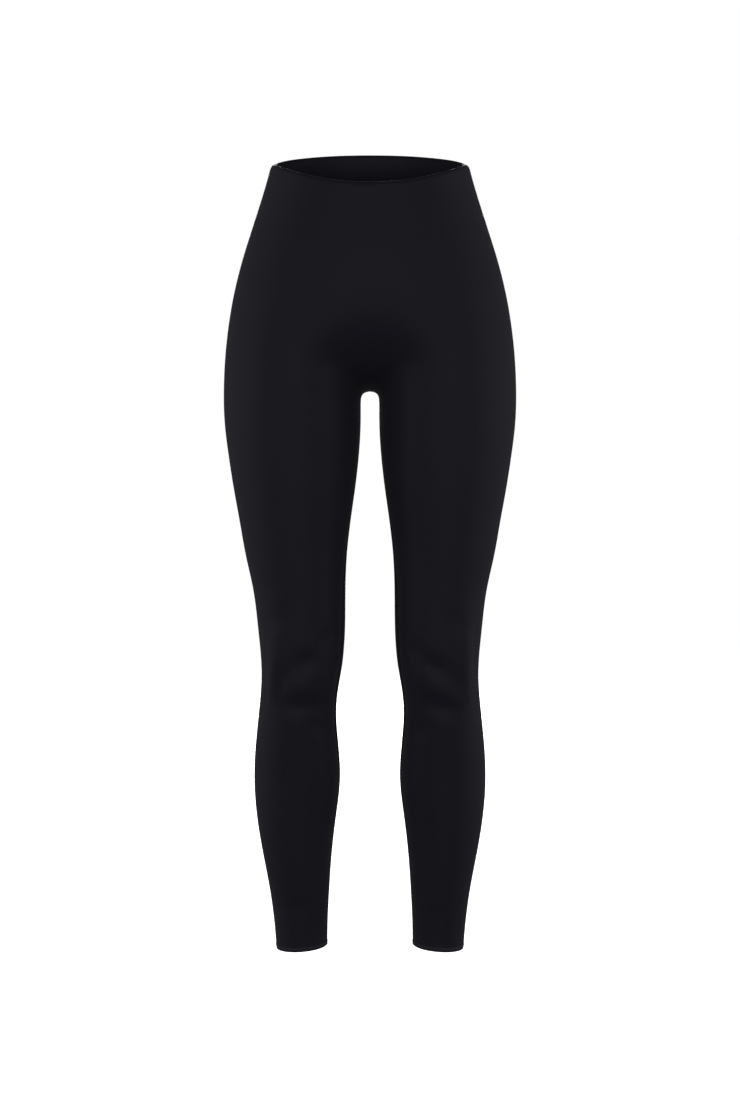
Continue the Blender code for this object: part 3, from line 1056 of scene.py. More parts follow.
class ShaderTree:
    """A material's nodes."""

    def __init__(self, name: str) -> None:
        """Starts a material with a Principled shader.

        Args:
            name: the material's name.
        """
        self.material = bpy.data.materials.new(name)
        self.material.use_nodes = True
        self.nodes = self.material.node_tree.nodes
        self.links = self.material.node_tree.links
        self.shader = self.nodes["Principled BSDF"]

    def put(self, socket: bpy.types.NodeSocket, value: Any) -> None:
        """Links or sets one input socket.

        Args:
            socket: the socket.
            value: a Value to link, or anything that the socket holds.
        """
        if isinstance(value, Value):
            self.links.new(value.socket, socket)
        else:
            socket.default_value = value

    def node(
        self, kind: str, settings: dict[str, Any], inputs: dict[Any, Any], output: Any = 0
    ) -> Value:
        """Adds any node.

        Args:
            kind: its type.
            settings: its own properties, set first.
            inputs: values or links of its sockets, by name or number.
            output: which output to give.

        Returns:
            That output.
        """
        made = self.nodes.new(kind)
        for key, value in settings.items():
            setattr(made, key, value)
        for key, value in inputs.items():
            self.put(made.inputs[key], value)
        return Value(self, made.outputs[output])

    def place(self) -> Value:
        """The place on the piece, in metres."""
        return self.node("ShaderNodeTexCoord", {}, {}, "Object")

    def noise(self, scale: float, detail: float, roughness: float) -> Value:
        """A noise texture's value over the piece."""
        inputs = {"Vector": self.place(), "Scale": scale, "Detail": detail, "Roughness": roughness}
        return self.node("ShaderNodeTexNoise", {}, inputs, "Fac")

    def fibres(self, scale: float) -> Value:
        """The fine unevenness of spun fibres."""
        return self.noise(scale, FIBRE_DETAIL, FIBRE_ROUGHNESS)

    def bump(self, height: Value, strength: float, depth: float) -> Value:
        """The surface's normal, tipped by a height from 0 to 1."""
        inputs = {"Strength": strength, "Distance": depth, "Height": height}
        return self.node("ShaderNodeBump", {}, inputs, "Normal")

    def mixed(self, factor: Value, first: Colour | Value, second: Colour) -> Value:
        """A mix of two colours.

        Args:
            factor: how much of the second one, from 0 to 1.
            first: the first colour, which may be a mix itself.
            second: the second colour.

        Returns:
            The mix.
        """
        first = first if isinstance(first, Value) else (*first, 1.0)
        inputs = {"Factor": factor, 6: first, 7: (*second, 1.0)}
        return self.node("ShaderNodeMix", {"data_type": "RGBA"}, inputs, 2)

    def split(self, place: Value) -> tuple[Value, Value, Value]:
        """Takes a vector apart.

        Args:
            place: the vector.

        Returns:
            Its x, y and z.
        """
        first = self.node("ShaderNodeSeparateXYZ", {}, {"Vector": place})
        outputs = first.socket.node.outputs
        return tuple(Value(self, outputs[i]) for i in range(3))

    def finish(self, inputs: dict[str, Any]) -> bpy.types.Material:
        """Sets the shader's own sockets.

        Args:
            inputs: values or links, by the sockets' names.

        Returns:
            The material.
        """
        for key, value in inputs.items():
            self.put(self.shader.inputs[key], value)
        return self.material


@dataclass(frozen=True)
class KnitFinish:
    """Black stretch knit: fine loops in columns down the garment, with a soft satin sheen. Its colour
    paints shade into the loops' valleys, a highlight on the hem's fold and a shade line at the hem's top.
    """

    name: str
    deep: Colour = (0.0074, 0.0067, 0.0107)
    lit: Colour = (0.0116, 0.0105, 0.0165)
    column_width: float = 0.00075
    course_height: float = 0.00062
    loop_slant: float = 0.6
    course_share: float = 0.55
    yarn_share: float = 0.45
    cloud_scale: float = 18.0
    cloud_detail: float = 3.0
    cloud_roughness: float = 0.5
    fibre_scale: float = 900.0
    painted_loop_shade: float = 0.45
    tone_of_fibres: float = 0.3
    tone_of_clouds: float = 0.25
    roughness: float = 0.56
    roughness_change: float = 0.08
    specular: float = 0.28
    ior: float = 1.22
    sheen: float = 0.075
    sheen_roughness: float = 0.43
    sheen_tint: Colour = (0.93, 0.90, 1.0)
    loop_depth: float = 0.00005
    loop_strength: float = 0.35
    fibre_relief: float = 0.35
    # Painted highlight: a lighter ring on the hem's fold just above its edge, coloured in where the fold
    # catches light.
    painted_highlight_above_edge: float = 0.0040
    painted_highlight_half: float = 0.0021
    worn: Colour = (0.0215, 0.0197, 0.0300)
    # Painted shade: a darker ring where the hem's top steps in from the leg.
    painted_shade_above_edge: float = 0.0072
    painted_shade_half: float = 0.0010
    painted_hem_shade: Colour = (0.0045, 0.0041, 0.0066)

    def ring(self, above_edge: Value, middle: float, half: float) -> Value:
        """A soft line round the ankle, by its middle's height above the edge and half its width; it places
        the painted highlight and the painted shade of the hem.
        """
        away = (above_edge - middle) / half
        return (1 - away.size()).math("MAXIMUM", 0.0)

    def loops(self, across: Value, along: Value) -> Value:
        """The height of the knitted loops.

        Args:
            across: the place across the flat cloth.
            along: the place along it.

        Returns:
            The height, from 0 to 1.
        """
        column = (across / self.column_width).fraction()
        slant = (column - 0.5).size() * 2
        leg = (across * 2 / self.column_width).fraction() - 0.5
        yarn = 1 - leg * leg * 4
        course = (along / self.course_height + slant * self.loop_slant).wave()
        return course * self.course_share + yarn * self.yarn_share

    def make(self, hem_edge: float) -> bpy.types.Material:
        """Builds the material.

        Args:
            hem_edge: the height of the hem's edge.

        Returns:
            The material.
        """
        tree = ShaderTree(self.name)
        across, along, _ = tree.split(tree.node("ShaderNodeUVMap", {"uv_map": "cloth"}, {}))
        loops = self.loops(across, along)
        clouds = tree.noise(self.cloud_scale, self.cloud_detail, self.cloud_roughness)
        fibres = tree.fibres(self.fibre_scale)
        # The loops' share darkens the colour in their valleys, which is painted shade; the fibres' and
        # clouds' shares are random tone.
        tone = loops * self.painted_loop_shade + fibres * self.tone_of_fibres + clouds * self.tone_of_clouds
        above_edge = along - hem_edge
        # Painted highlight: the lighter ring on the hem's fold, just above its edge.
        worn = self.ring(above_edge, self.painted_highlight_above_edge, self.painted_highlight_half)
        # Painted shade: the darker ring at the top of the hem.
        painted_hem_shade = self.ring(above_edge, self.painted_shade_above_edge, self.painted_shade_half)
        colour = tree.mixed(tone, self.deep, self.lit)
        colour = tree.mixed(worn, colour, self.worn)
        colour = tree.mixed(painted_hem_shade, colour, self.painted_hem_shade)
        uneven = (clouds - 0.5) * self.roughness_change + (fibres - 0.5) * self.roughness_change
        relief = loops + fibres * self.fibre_relief
        return tree.finish(
            {
                "Base Color": colour,
                "Roughness": self.roughness + uneven,
                "Normal": tree.bump(relief, self.loop_strength, self.loop_depth),
                "Metallic": 0.0,
                "Specular IOR Level": self.specular,
                "IOR": self.ior,
                "Sheen Weight": self.sheen,
                "Sheen Roughness": self.sheen_roughness,
                "Sheen Tint": (*self.sheen_tint, 1.0),
            }
        )


@dataclass(frozen=True)
class ThreadFinish:
    """Black textured sewing thread."""

    name: str
    deep: Colour = (0.0040, 0.0036, 0.0056)
    lit: Colour = (0.0092, 0.0084, 0.0122)
    roughness: float = 0.60
    roughness_change: float = 0.1
    specular: float = 0.15
    fibre_scale: float = 2600.0
    fibre_strength: float = 0.3
    fibre_depth: float = 0.00004

    def make(self) -> bpy.types.Material:
        """Builds the material.

        Returns:
            The material.
        """
        tree = ShaderTree(self.name)
        fibres = tree.fibres(self.fibre_scale)
        return tree.finish(
            {
                "Base Color": tree.mixed(fibres, self.deep, self.lit),
                "Roughness": self.roughness + (fibres - 0.5) * self.roughness_change,
                "Normal": tree.bump(fibres, self.fibre_strength, self.fibre_depth),
                "Metallic": 0.0,
                "Specular IOR Level": self.specular,
            }
        )


LEG_KNIT = KnitFinish("leg_knit_finish")
BAND_KNIT = KnitFinish("waistband_knit_finish", roughness=0.54)
# The wrong side is coloured 1.4 times lighter: partly the knit's paler back face, partly painted light
# standing in for the light that reaches the band's inside.
WRONG_SIDE_PAINTED_LIGHTER = KnitFinish(
    "knit_wrong_side_finish",
    deep=(0.0104, 0.0094, 0.0150),
    lit=(0.0162, 0.0147, 0.0231),
    specular=0.39,
)
SEAM_THREAD = ThreadFinish("sewing_thread_finish")
# Hem thread coloured lighter than the seam thread: painted sheen, standing in for the light line that the
# hem's stitches catch.
HEM_THREAD_PAINTED_SHEEN = ThreadFinish(
    "hem_thread_finish",
    deep=(0.0110, 0.0100, 0.0150),
    lit=(0.0260, 0.0240, 0.0340),
    specular=0.30,
)


class Lane(NamedTuple):
    """One line of thread bars in a row of stitches.

    The offset is its share of the row's half width, and the turn its angle to the row in degrees. The
    length is its share of the pitch, or of the row's full width where the bars cross the row.
    """

    offset: float
    turn: float
    crosses: bool
    length: float


NEEDLE_ROW = (Lane(0.0, 0.0, False, 0.82),)
FLAT_SEAM_LANES = (
    Lane(-1.0, 0.0, False, 0.84),
    Lane(1.0, 0.0, False, 0.84),
    Lane(0.0, 56.0, True, 1.06),
    Lane(0.0, -56.0, True, 1.06),
)
LADDER = (Lane(0.0, 90.0, True, 1.0),)
ZIGZAG = (Lane(0.0, 38.0, True, 1.12), Lane(0.0, -38.0, True, 1.12))


class StitchTree:
    """Geometry Nodes that lay bars of thread along paths, for one set of lanes and one thread."""

    SIZES = ("Pitch", "Half Width", "Thread Radius", "Thread Rise", "Thread Sink")
    ARC_STEPS = 4
    TUBE_SIDES = 5

    def __init__(self, name: str, lanes: Sequence[Lane], material: bpy.types.Material) -> None:
        """Builds the tree.

        Args:
            name: its name.
            lanes: the lines of thread in each stitch.
            material: the thread's finish.
        """
        self.tree = bpy.data.node_groups.new(name, "GeometryNodeTree")
        face = self.tree.interface
        face.new_socket("Geometry", in_out="INPUT", socket_type="NodeSocketGeometry")
        self.identifiers = {}
        for size in self.SIZES:
            made = face.new_socket(size, in_out="INPUT", socket_type="NodeSocketFloat")
            self.identifiers[size] = made.identifier
        face.new_socket("Geometry", in_out="OUTPUT", socket_type="NodeSocketGeometry")
        self.start = self.tree.nodes.new("NodeGroupInput")
        path = self.add("GeometryNodeMeshToCurve", {}, {"Mesh": self.start.outputs["Geometry"]})
        points = self.add(
            "GeometryNodeCurveToPoints",
            {"mode": "LENGTH"},
            {"Curve": path.outputs["Curve"], "Length": self.start.outputs["Pitch"]},
        )
        facing = self.add(
            "GeometryNodeInputNamedAttribute", {"data_type": "FLOAT_VECTOR"}, {"Name": "facing"}
        )
        joined = self.tree.nodes.new("GeometryNodeJoinGeometry")
        for lane in lanes:
            self.lay(lane, points, facing, joined)
        real = self.add("GeometryNodeRealizeInstances", {}, {"Geometry": joined.outputs["Geometry"]})
        dressed = self.add(
            "GeometryNodeSetMaterial", {}, {"Geometry": real.outputs["Geometry"], "Material": material}
        )
        end = self.tree.nodes.new("NodeGroupOutput")
        self.tree.links.new(dressed.outputs["Geometry"], end.inputs["Geometry"])

    def add(self, kind: str, settings: dict[str, Any], inputs: dict[Any, Any]) -> bpy.types.Node:
        """Adds any node.

        Args:
            kind: its type.
            settings: its own properties, set first.
            inputs: values or links of its sockets, by name or number.

        Returns:
            The node.
        """
        made = self.tree.nodes.new(kind)
        for key, value in settings.items():
            setattr(made, key, value)
        for key, value in inputs.items():
            if isinstance(value, bpy.types.NodeSocket):
                self.tree.links.new(value, made.inputs[key])
            else:
                made.inputs[key].default_value = value
        return made

    def maths(self, operation: str, *values: Any) -> bpy.types.NodeSocket:
        """One Math node's result."""
        made = self.add("ShaderNodeMath", {"operation": operation}, dict(enumerate(values)))
        return made.outputs[0]

    def vector(self, x: Any, y: Any, z: Any) -> bpy.types.NodeSocket:
        """A vector of three values."""
        return self.add("ShaderNodeCombineXYZ", {}, {0: x, 1: y, 2: z}).outputs[0]

    def bar(self, lane: Lane) -> bpy.types.NodeSocket:
        """One arched bar of thread, along x, with its ends in the cloth.

        Args:
            lane: the line of thread that it is for.

        Returns:
            Its mesh.
        """
        size = self.start.outputs
        span = self.maths("MULTIPLY", size["Half Width"], 2.0) if lane.crosses else size["Pitch"]
        half = self.maths("MULTIPLY", span, lane.length / 2)
        back = self.maths("MULTIPLY", half, -1.0)
        low = self.maths("MULTIPLY", size["Thread Sink"], -1.0)
        arc = self.add(
            "GeometryNodeCurveQuadraticBezier",
            {},
            {
                "Resolution": self.ARC_STEPS,
                "Start": self.vector(back, 0.0, low),
                "Middle": self.vector(0.0, 0.0, size["Thread Rise"]),
                "End": self.vector(half, 0.0, low),
            },
        )
        ring = self.add(
            "GeometryNodeCurvePrimitiveCircle",
            {},
            {"Resolution": self.TUBE_SIDES, "Radius": size["Thread Radius"]},
        )
        tube = self.add(
            "GeometryNodeCurveToMesh",
            {},
            {"Curve": arc.outputs["Curve"], "Profile Curve": ring.outputs["Curve"], "Fill Caps": True},
        )
        return tube.outputs["Mesh"]

    def lay(
        self, lane: Lane, points: bpy.types.Node, facing: bpy.types.Node, joined: bpy.types.Node
    ) -> None:
        """Puts one lane's bars on the path's points.

        Args:
            lane: the line of thread.
            points: the node that gives the points and their tangents.
            facing: the node that gives the cloth's normals.
            joined: the node that gathers the lanes.
        """
        normal = facing.outputs[0]
        tangent = points.outputs["Tangent"]
        side = self.add("ShaderNodeVectorMath", {"operation": "CROSS_PRODUCT"}, {0: normal, 1: tangent})
        reach = self.maths("MULTIPLY", self.start.outputs["Half Width"], lane.offset)
        aside = self.add(
            "ShaderNodeVectorMath", {"operation": "SCALE"}, {0: side.outputs[0], "Scale": reach}
        )
        moved = self.add(
            "GeometryNodeSetPosition",
            {},
            {"Geometry": points.outputs["Points"], "Offset": aside.outputs[0]},
        )
        axes = self.add(
            "FunctionNodeAxesToRotation",
            {"primary_axis": "Z", "secondary_axis": "X"},
            {"Primary Axis": normal, "Secondary Axis": tangent},
        )
        turn = self.add(
            "FunctionNodeRotateRotation",
            {"rotation_space": "LOCAL"},
            {0: axes.outputs[0], 1: (0.0, 0.0, math.radians(lane.turn))},
        )
        copies = self.add(
            "GeometryNodeInstanceOnPoints",
            {},
            {"Points": moved.outputs["Geometry"], "Instance": self.bar(lane), "Rotation": turn.outputs[0]},
        )
        self.tree.links.new(copies.outputs["Instances"], joined.inputs["Geometry"])

    def make(self, name: str, paths: Sequence["StitchPath"], thread: "Thread") -> bpy.types.Object:
        """Lays stitches along paths.

        Args:
            name: the piece's name.
            paths: the lines that they follow.
            thread: their sizes.

        Returns:
            One plain mesh of all the stitches.
        """
        source = in_scene(bpy.data.objects.new(name + "_path", path_mesh(name + "_path", paths)))
        modifier = source.modifiers.new("stitches", "NODES")
        modifier.node_group = self.tree
        for size, value in zip(self.SIZES, thread.sizes()):
            modifier[self.identifiers[size]] = value
        graph = bpy.context.evaluated_depsgraph_get()
        made = bpy.data.meshes.new_from_object(source.evaluated_get(graph), depsgraph=graph)
        made.name = name
        made.shade_smooth()
        mesh = source.data
        bpy.data.objects.remove(source)
        bpy.data.meshes.remove(mesh)
        return in_scene(bpy.data.objects.new(name, made))

    def pair(self, name: str, left: Sequence["StitchPath"], thread: "Thread") -> list[bpy.types.Object]:
        """The left and right piece of the same stitches, named with the side's letter."""
        sides = {"l": left, "r": [path.mirrored() for path in left]}
        return [self.make(name.format(letter), paths, thread) for letter, paths in sides.items()]


@dataclass(frozen=True)
class Thread:
    """The sizes of a row of stitches."""

    pitch: float = 0.0024
    half_width: float = 0.0021
    radius: float = 0.00016
    rise: float = 0.00028
    sink: float = 0.00012

    def sizes(self) -> tuple[float, ...]:
        """The sizes, in the order of the tree's inputs."""
        return self.pitch, self.half_width, self.radius, self.rise, self.sink


@dataclass(frozen=True)
class StitchPath:
    """A line on the cloth that stitches follow, with the cloth's normals."""

    points: np.ndarray
    normals: np.ndarray
    closed: bool = False

    def mirrored(self) -> "StitchPath":
        """The same line on the other side of the body."""
        return StitchPath(self.points * MIRRORED, self.normals * MIRRORED, self.closed)


def path_mesh(name: str, paths: Sequence[StitchPath]) -> bpy.types.Mesh:
    """Paths as a mesh of edges, with the cloth's normals as an attribute.

    Args:
        name: the mesh's name.
        paths: the lines.

    Returns:
        The mesh.
    """
    edges: list[tuple[int, int]] = []
    first = 0
    for path in paths:
        count = len(path.points)
        edges += [(first + i, first + i + 1) for i in range(count - 1)]
        if path.closed:
            edges.append((first + count - 1, first))
        first += count
    mesh = bpy.data.meshes.new(name)
    mesh.from_pydata(np.concatenate([path.points for path in paths]).tolist(), edges, [])
    facing = mesh.attributes.new("facing", "FLOAT_VECTOR", "POINT")
    normals = np.concatenate([path.normals for path in paths])
    facing.data.foreach_set("vector", normals.astype(np.float32).reshape(-1))
    return mesh


class Cut(NamedTuple):
    """A flat piece of cloth: its width, length and area."""

    width: float
    length: float
    area: float


@dataclass(frozen=True)
class Stretch:
    """How much longer the knit is when worn than as cut, round the body and down it."""

    around: float = 1.17
    along: float = 1.02

    def cut(self, width: float, length: float, area: float) -> Cut:
        """The cut, without allowances, of a worn piece's widest row, longest side and outer area."""
        return Cut(width / self.around, length / self.along, area / (self.around * self.along))


def declare(piece: bpy.types.Object) -> None:
    """Fixes a piece to the garment and logs its triangle count.

    Args:
        piece: the finished piece.
    """
    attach(piece, BODY)
    triangles = sum(len(face.vertices) - 2 for face in piece.data.polygons)
    LOG.info("%s: %d triangles", piece.name, triangles)


def declare_cloth(made: tuple[bpy.types.Object, Cut], node: str) -> None:
    """Declares a sewn piece as a sheet of cloth that stands for its solid.

    Args:
        made: the finished piece and its flat cut.
        node: the solid it replaces.
    """
    piece, cut = made
    declare(piece)
    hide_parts(node)
    LOG.info("%s: cut %.3f x %.3f m, %.4f square metres", piece.name, *cut)


@dataclass
class Waistband:
    """The double-layer band round the waist: a front and a back half, joined at the side seams."""

    form: WornForm
    relief: Relief
    stretch: Stretch
    cloth: Cloth
    wall: float = 0.0024
    rim_round: float = 1.0
    seam_round: float = 0.02
    corner_round: float = 0.9
    depths: tuple[float, ...] = (0.0, 0.0008, 0.0016, 0.0025, 0.0036, 0.0050, 0.0066, 0.0084)
    even_rows: int = 15
    from_seam: tuple[float, ...] = (0.0050, 0.0034, 0.0023, 0.0015, 0.0008, 0.0)
    steps: Steps = Steps(between=34)

    def rows(self) -> list[Row]:
        """The band's rows.

        Returns:
            Rows from the rim down to the waist seam.
        """
        low = self.form.band_depth - self.from_seam[0]
        even = np.linspace(self.depths[-1], low, self.even_rows + 1)[1:-1]
        depths = [*self.depths, *even, *(self.form.band_depth - gap for gap in self.from_seam)]
        return [self.form.band_row(float(depth)) for depth in depths]

    def build(self, face: Face) -> tuple[bpy.types.Object, Cut]:
        """One half of the band, over both sides of the body.

        Args:
            face: the front or back half.

        Returns:
            The finished half and its cut, folded as worn.
        """
        rows = self.rows()
        heights = side_heights(rows)
        points, distances = self.form.half_grid(rows, face, self.steps)
        normals = self.form.normals(points)
        to_side = distances[:, -1:] - distances
        raised = self.relief.flat_seam(to_side, points[..., 2])
        raised = raised + self.relief.waist_seam(heights - self.form.waist_height)
        rolled = self.relief.rolled(self.form.rim_height - heights, to_side)
        outer = points + normals * (raised - rolled)[..., None]
        inner = points - normals * (self.wall + rolled)[..., None]
        rounds = np.full(points.shape[:2], self.seam_round)
        rounds[0] = self.rim_round
        rounds[0, -1] = self.corner_round
        wall = Wall("waistband_" + face.name.lower() + "_cloth")
        cloth = np.stack([distances, points[..., 2]], axis=-1)
        flip = face is Face.BACK
        index = wall.add(outer, inner, rounds, cloth, flip)
        middle = np.zeros(points.shape[:2], dtype=bool)
        middle[:, 0] = True
        shared = (middle, index[:, 0])
        wall.add(outer * MIRRORED, inner * MIRRORED, rounds, cloth * (-1, 1), not flip, shared)
        made = wall.build(self.cloth)
        length = float(lengths_along(outer[:, -1])[-1])
        return made, self.stretch.cut(2 * float(distances[:, -1].max()), length, wall.area)


@dataclass
class Panels:
    """The front panel, with no centre seam, and the two back panels, each down to the ankle hems."""

    form: WornForm
    relief: Relief
    hem: Hem
    stretch: Stretch
    cloth: Cloth
    wall: float = 0.0012
    seam_round: float = 0.02
    corner_round: float = 0.9
    inseam_start: float = 0.004
    fold_round: float = 1.0
    from_waist: tuple[float, ...] = (0.0, 0.0008, 0.0015, 0.0023, 0.0034, 0.0050)
    hip_rows: int = 46
    leg_rows: int = 150
    leg_gather: float = 1.15
    steps: Steps = Steps()

    def rows(self) -> list[Row]:
        """The panels' rows.

        Returns:
            Rows from the waist seam down to the hem.
        """
        form = self.form
        height = form.waist_height - form.crotch_height - form.row_climb
        near = [1 - gap / height for gap in self.from_waist]
        even = np.linspace(near[-1], 0, self.hip_rows + 1)[1:]
        hip = [form.hip_row(float(share)) for share in (*near, *even)]
        above = form.leg_length - self.hem.row_heights[-1]
        shares = np.linspace(0, 1, self.leg_rows + 1)[1:-1]
        near_hem = [form.leg_length - gap for gap in self.hem.row_heights[::-1]]
        drops = [*(above * shares**self.leg_gather), *near_hem]
        return hip + [form.leg_row(float(drop)) for drop in drops]

    def half(self, face: Face, side: Side) -> tuple[np.ndarray, ...]:
        """The left half's sheets, with the creases of either side.

        Args:
            face: the front or back half.
            side: whose creases it has.

        Returns:
            Outer and inner points, edge roundness, flat places, and the rows' inner heights.
        """
        rows = self.rows()
        points, distances = self.form.half_grid(rows, face, self.steps)
        normals = self.form.normals(points)
        centre_heights = inner_heights(rows)
        below_waist = self.form.waist_height - side_heights(rows)
        above_hem = side_heights(rows) - self.form.hem_height
        raised = self.relief.creases(points, side)
        raised = raised + self.relief.flat_seam(distances[:, -1:] - distances, points[..., 2])
        seamed = np.ones_like(centre_heights)
        if face is Face.FRONT:
            seamed = smooth_step((self.form.crotch_height - centre_heights) / self.inseam_start)
        raised = raised + seamed * self.relief.flat_seam(distances, points[..., 2])
        raised = raised + self.relief.waist_seam(below_waist) + self.hem.relief(above_hem)
        in_hem = smooth_step((self.hem.depth - above_hem) / self.hem.lift_fade)
        thick = self.wall + (self.hem.wall - self.wall) * in_hem
        outer = points + normals * raised[..., None]
        inner = points + normals * (raised * (above_hem > self.hem.row_heights[-1]) - thick)[..., None]
        rounds = np.full(points.shape[:2], self.seam_round)
        rounds[-1] = self.fold_round
        rounds[-1, [0, -1]] = self.corner_round
        down = above_hem + self.form.hem_height - points[..., 2]
        height = points[..., 2] + down * self.form.lowered(above_hem)
        cloth = np.stack([distances, height], axis=-1)
        return outer, inner, rounds, cloth, centre_heights[:, 0]

    def front(self) -> tuple[bpy.types.Object, Cut]:
        """The front panel, over both legs.

        Returns:
            The finished panel and its cut.
        """
        wall = Wall("front_panel_cloth")
        index = None
        for side in (Side.LEFT, Side.RIGHT):
            outer, inner, rounds, cloth, heights = self.half(Face.FRONT, side)
            middle = np.zeros(outer.shape[:2], dtype=bool)
            middle[heights >= self.form.crotch_height, 0] = True
            for sheet in (outer, inner):
                sheet[middle, 0] = 0
            mirror = (side.value, 1, 1)
            shared = None if index is None else (middle, index[middle])
            flat = cloth * (side.value, 1)
            made = wall.add(outer * mirror, inner * mirror, rounds, flat, side is Side.RIGHT, shared)
            index = made if index is None else index
        return wall.build(self.cloth), self.cut(outer, 2, wall.area)

    def cut(self, outer: np.ndarray, halves: int, area: float) -> Cut:
        """A panel's cut, by the outer sheet that it has once or twice, and its whole worn area."""
        width = halves * float(lengths_along(outer)[:, -1].max())
        return self.stretch.cut(width, float(lengths_along(outer[:, -1])[-1]), area)

    def back(self, side: Side) -> tuple[bpy.types.Object, Cut]:
        """One back panel.

        Args:
            side: the wearer's left or right.

        Returns:
            The finished panel and its cut.
        """
        outer, inner, rounds, cloth, _ = self.half(Face.BACK, side)
        for sheet in (outer, inner):
            sheet[..., 0] = np.maximum(sheet[..., 0], 0)
        mirror = (side.value, 1, 1)
        wall = Wall("back_panel_" + side.name[0].lower() + "_cloth")
        wall.add(outer * mirror, inner * mirror, rounds, cloth * (side.value, 1), side is Side.LEFT)
        return wall.build(self.cloth), self.cut(outer, 1, wall.area)


@dataclass
class Sewing:
    """All the seams' and hems' stitches."""

    form: WornForm
    relief: Relief
    hem: Hem
    seam_finish: bpy.types.Material
    hem_finish: bpy.types.Material
    flat_seam: Thread = Thread()
    hem_thread: Thread = Thread(0.0026, 0.0015, radius=0.00015, rise=0.00030, sink=0.00010)
    waist_thread: Thread = Thread(0.0022, 0.0007, radius=0.00012, rise=0.00016, sink=0.00010)
    spacing: float = 0.002
    clearance: float = 0.00002
    waist_sink: float = 0.00018
    below_crotch: float = 0.004
    above_hem: float = 0.0010
    below_rim: float = 0.0036
    above_waist_seam: float = 0.0012
    line_samples: int = 8
    ankle_samples: int = 60
    waist_samples: int = 120

    def line(self, rows: Sequence[Row], face: Face, column: int, lift: float | np.ndarray) -> StitchPath:
        """The line of one edge column of the left half.

        Args:
            rows: the rows it runs through.
            face: the front or back half.
            column: 0 for the inner edge or -1 for the side seam.
            lift: how far it stands out from the form, for the whole line or for each row.

        Returns:
            The stitches' path.
        """
        points = self.form.half_rows(rows, face, self.line_samples)[:, column]
        normals = self.form.normals(points)
        return StitchPath(points + normals * lift, normals)

    def leg_rows(self) -> list[Row]:
        """The rows that the leg's stitches run through.

        Returns:
            Rows from just below the crotch to just above the hem's edge.
        """
        length = self.form.leg_length
        drops = np.linspace(self.below_crotch, length - self.above_hem, int(length / self.spacing))
        return [self.form.leg_row(float(drop)) for drop in drops]

    def hip_rows(self) -> list[Row]:
        """The rows that the hip's stitches run through.

        Returns:
            Rows from just below the waist seam to the crotch.
        """
        height = self.form.waist_height - self.form.crotch_height
        shares = np.linspace(1 - self.above_waist_seam / height, 0.0, int(height / self.spacing))
        return [self.form.hip_row(float(share)) for share in shares]

    def band_side(self, lift: float) -> StitchPath:
        """The left side seam of the waistband, which curls in at the rim.

        Args:
            lift: how far it stands out from the form below the curl.

        Returns:
            The stitches' path.
        """
        depth = self.form.band_depth
        depths = np.linspace(self.below_rim, depth - self.above_waist_seam, int(depth / self.spacing))
        rows = [self.form.band_row(float(depth)) for depth in depths]
        rolled = self.relief.rolled(depths, np.zeros_like(depths))
        return self.line(rows, Face.FRONT, -1, lift - rolled[:, None])

    def ring(self, points: np.ndarray, lift: float, inside: bool = False) -> StitchPath:
        """A closed line through points on the form, lifted out of it, or in on the cloth's inside."""
        normals = self.form.normals(points) * (-1 if inside else 1)
        return StitchPath(points + normals * lift, normals, True)

    def ankle(self, above_edge: float) -> np.ndarray:
        """Points round the left ankle.

        Args:
            above_edge: their height above the hem's edge.

        Returns:
            The points, on the form.
        """
        rows = [self.form.leg_row(self.form.leg_length - above_edge)]
        front, back = (self.form.half_rows(rows, face, self.ankle_samples)[0] for face in Face)
        return np.concatenate([front[:-1], back[:0:-1]])

    def waist(self) -> np.ndarray:
        """Points round the waist seam.

        Returns:
            The points, on the form.
        """
        rows = [self.form.band_row(self.form.band_depth)]
        front, back = (self.form.half_rows(rows, face, self.waist_samples)[0] for face in Face)
        left = np.concatenate([front, back[-2::-1]])
        return np.concatenate([left, left[-2:0:-1] * MIRRORED])

    def build(self) -> list[bpy.types.Object]:
        """Makes every row of stitches.

        Returns:
            The finished pieces.
        """
        flat = StitchTree("flat_seam_stitches", FLAT_SEAM_LANES, self.seam_finish)
        needle = StitchTree("needle_stitches", NEEDLE_ROW, self.hem_finish)
        ladder = StitchTree("ladder_stitches", LADDER, self.seam_finish)
        zigzag = StitchTree("cover_stitches", ZIGZAG, self.hem_finish)
        lift = self.relief.flat_seam_lift + self.clearance
        side = [self.band_side(lift), self.line(self.hip_rows() + self.leg_rows(), Face.FRONT, -1, lift)]
        inseam = [self.line(self.leg_rows(), Face.FRONT, 0, lift)]
        seat = [self.line(self.hip_rows(), Face.BACK, 0, lift)]
        waist_lift = self.relief.waist_ridge - self.relief.waist_groove - self.waist_sink
        waist = [self.ring(self.waist(), waist_lift)]
        needle_lift = self.hem.lift - self.hem.stitch_sink
        rows = [self.ring(self.ankle(height), needle_lift) for height in self.hem.stitch_rows]
        cover = [self.ring(self.ankle(self.hem.middle), self.hem.wall, inside=True)]
        return [
            *flat.pair("side_seam_{}_stitches", side, self.flat_seam),
            *flat.pair("inseam_{}_stitches", inseam, self.flat_seam),
            flat.make("seat_seam_stitches", seat, self.flat_seam),
            ladder.make("waist_seam_stitches", waist, self.waist_thread),
            *needle.pair("hem_{}_stitches", rows, self.hem_thread),
            *zigzag.pair("hem_{}_cover_stitches", cover, self.hem_thread),
        ]


WHITE = (1.0, 1.0, 1.0, 1.0)


class Softbox(NamedTuple):
    """A soft panel of light: its place, its width and height, and its power in watts."""

    name: str
    place: tuple[float, float, float]
    size: tuple[float, float]
    power: float


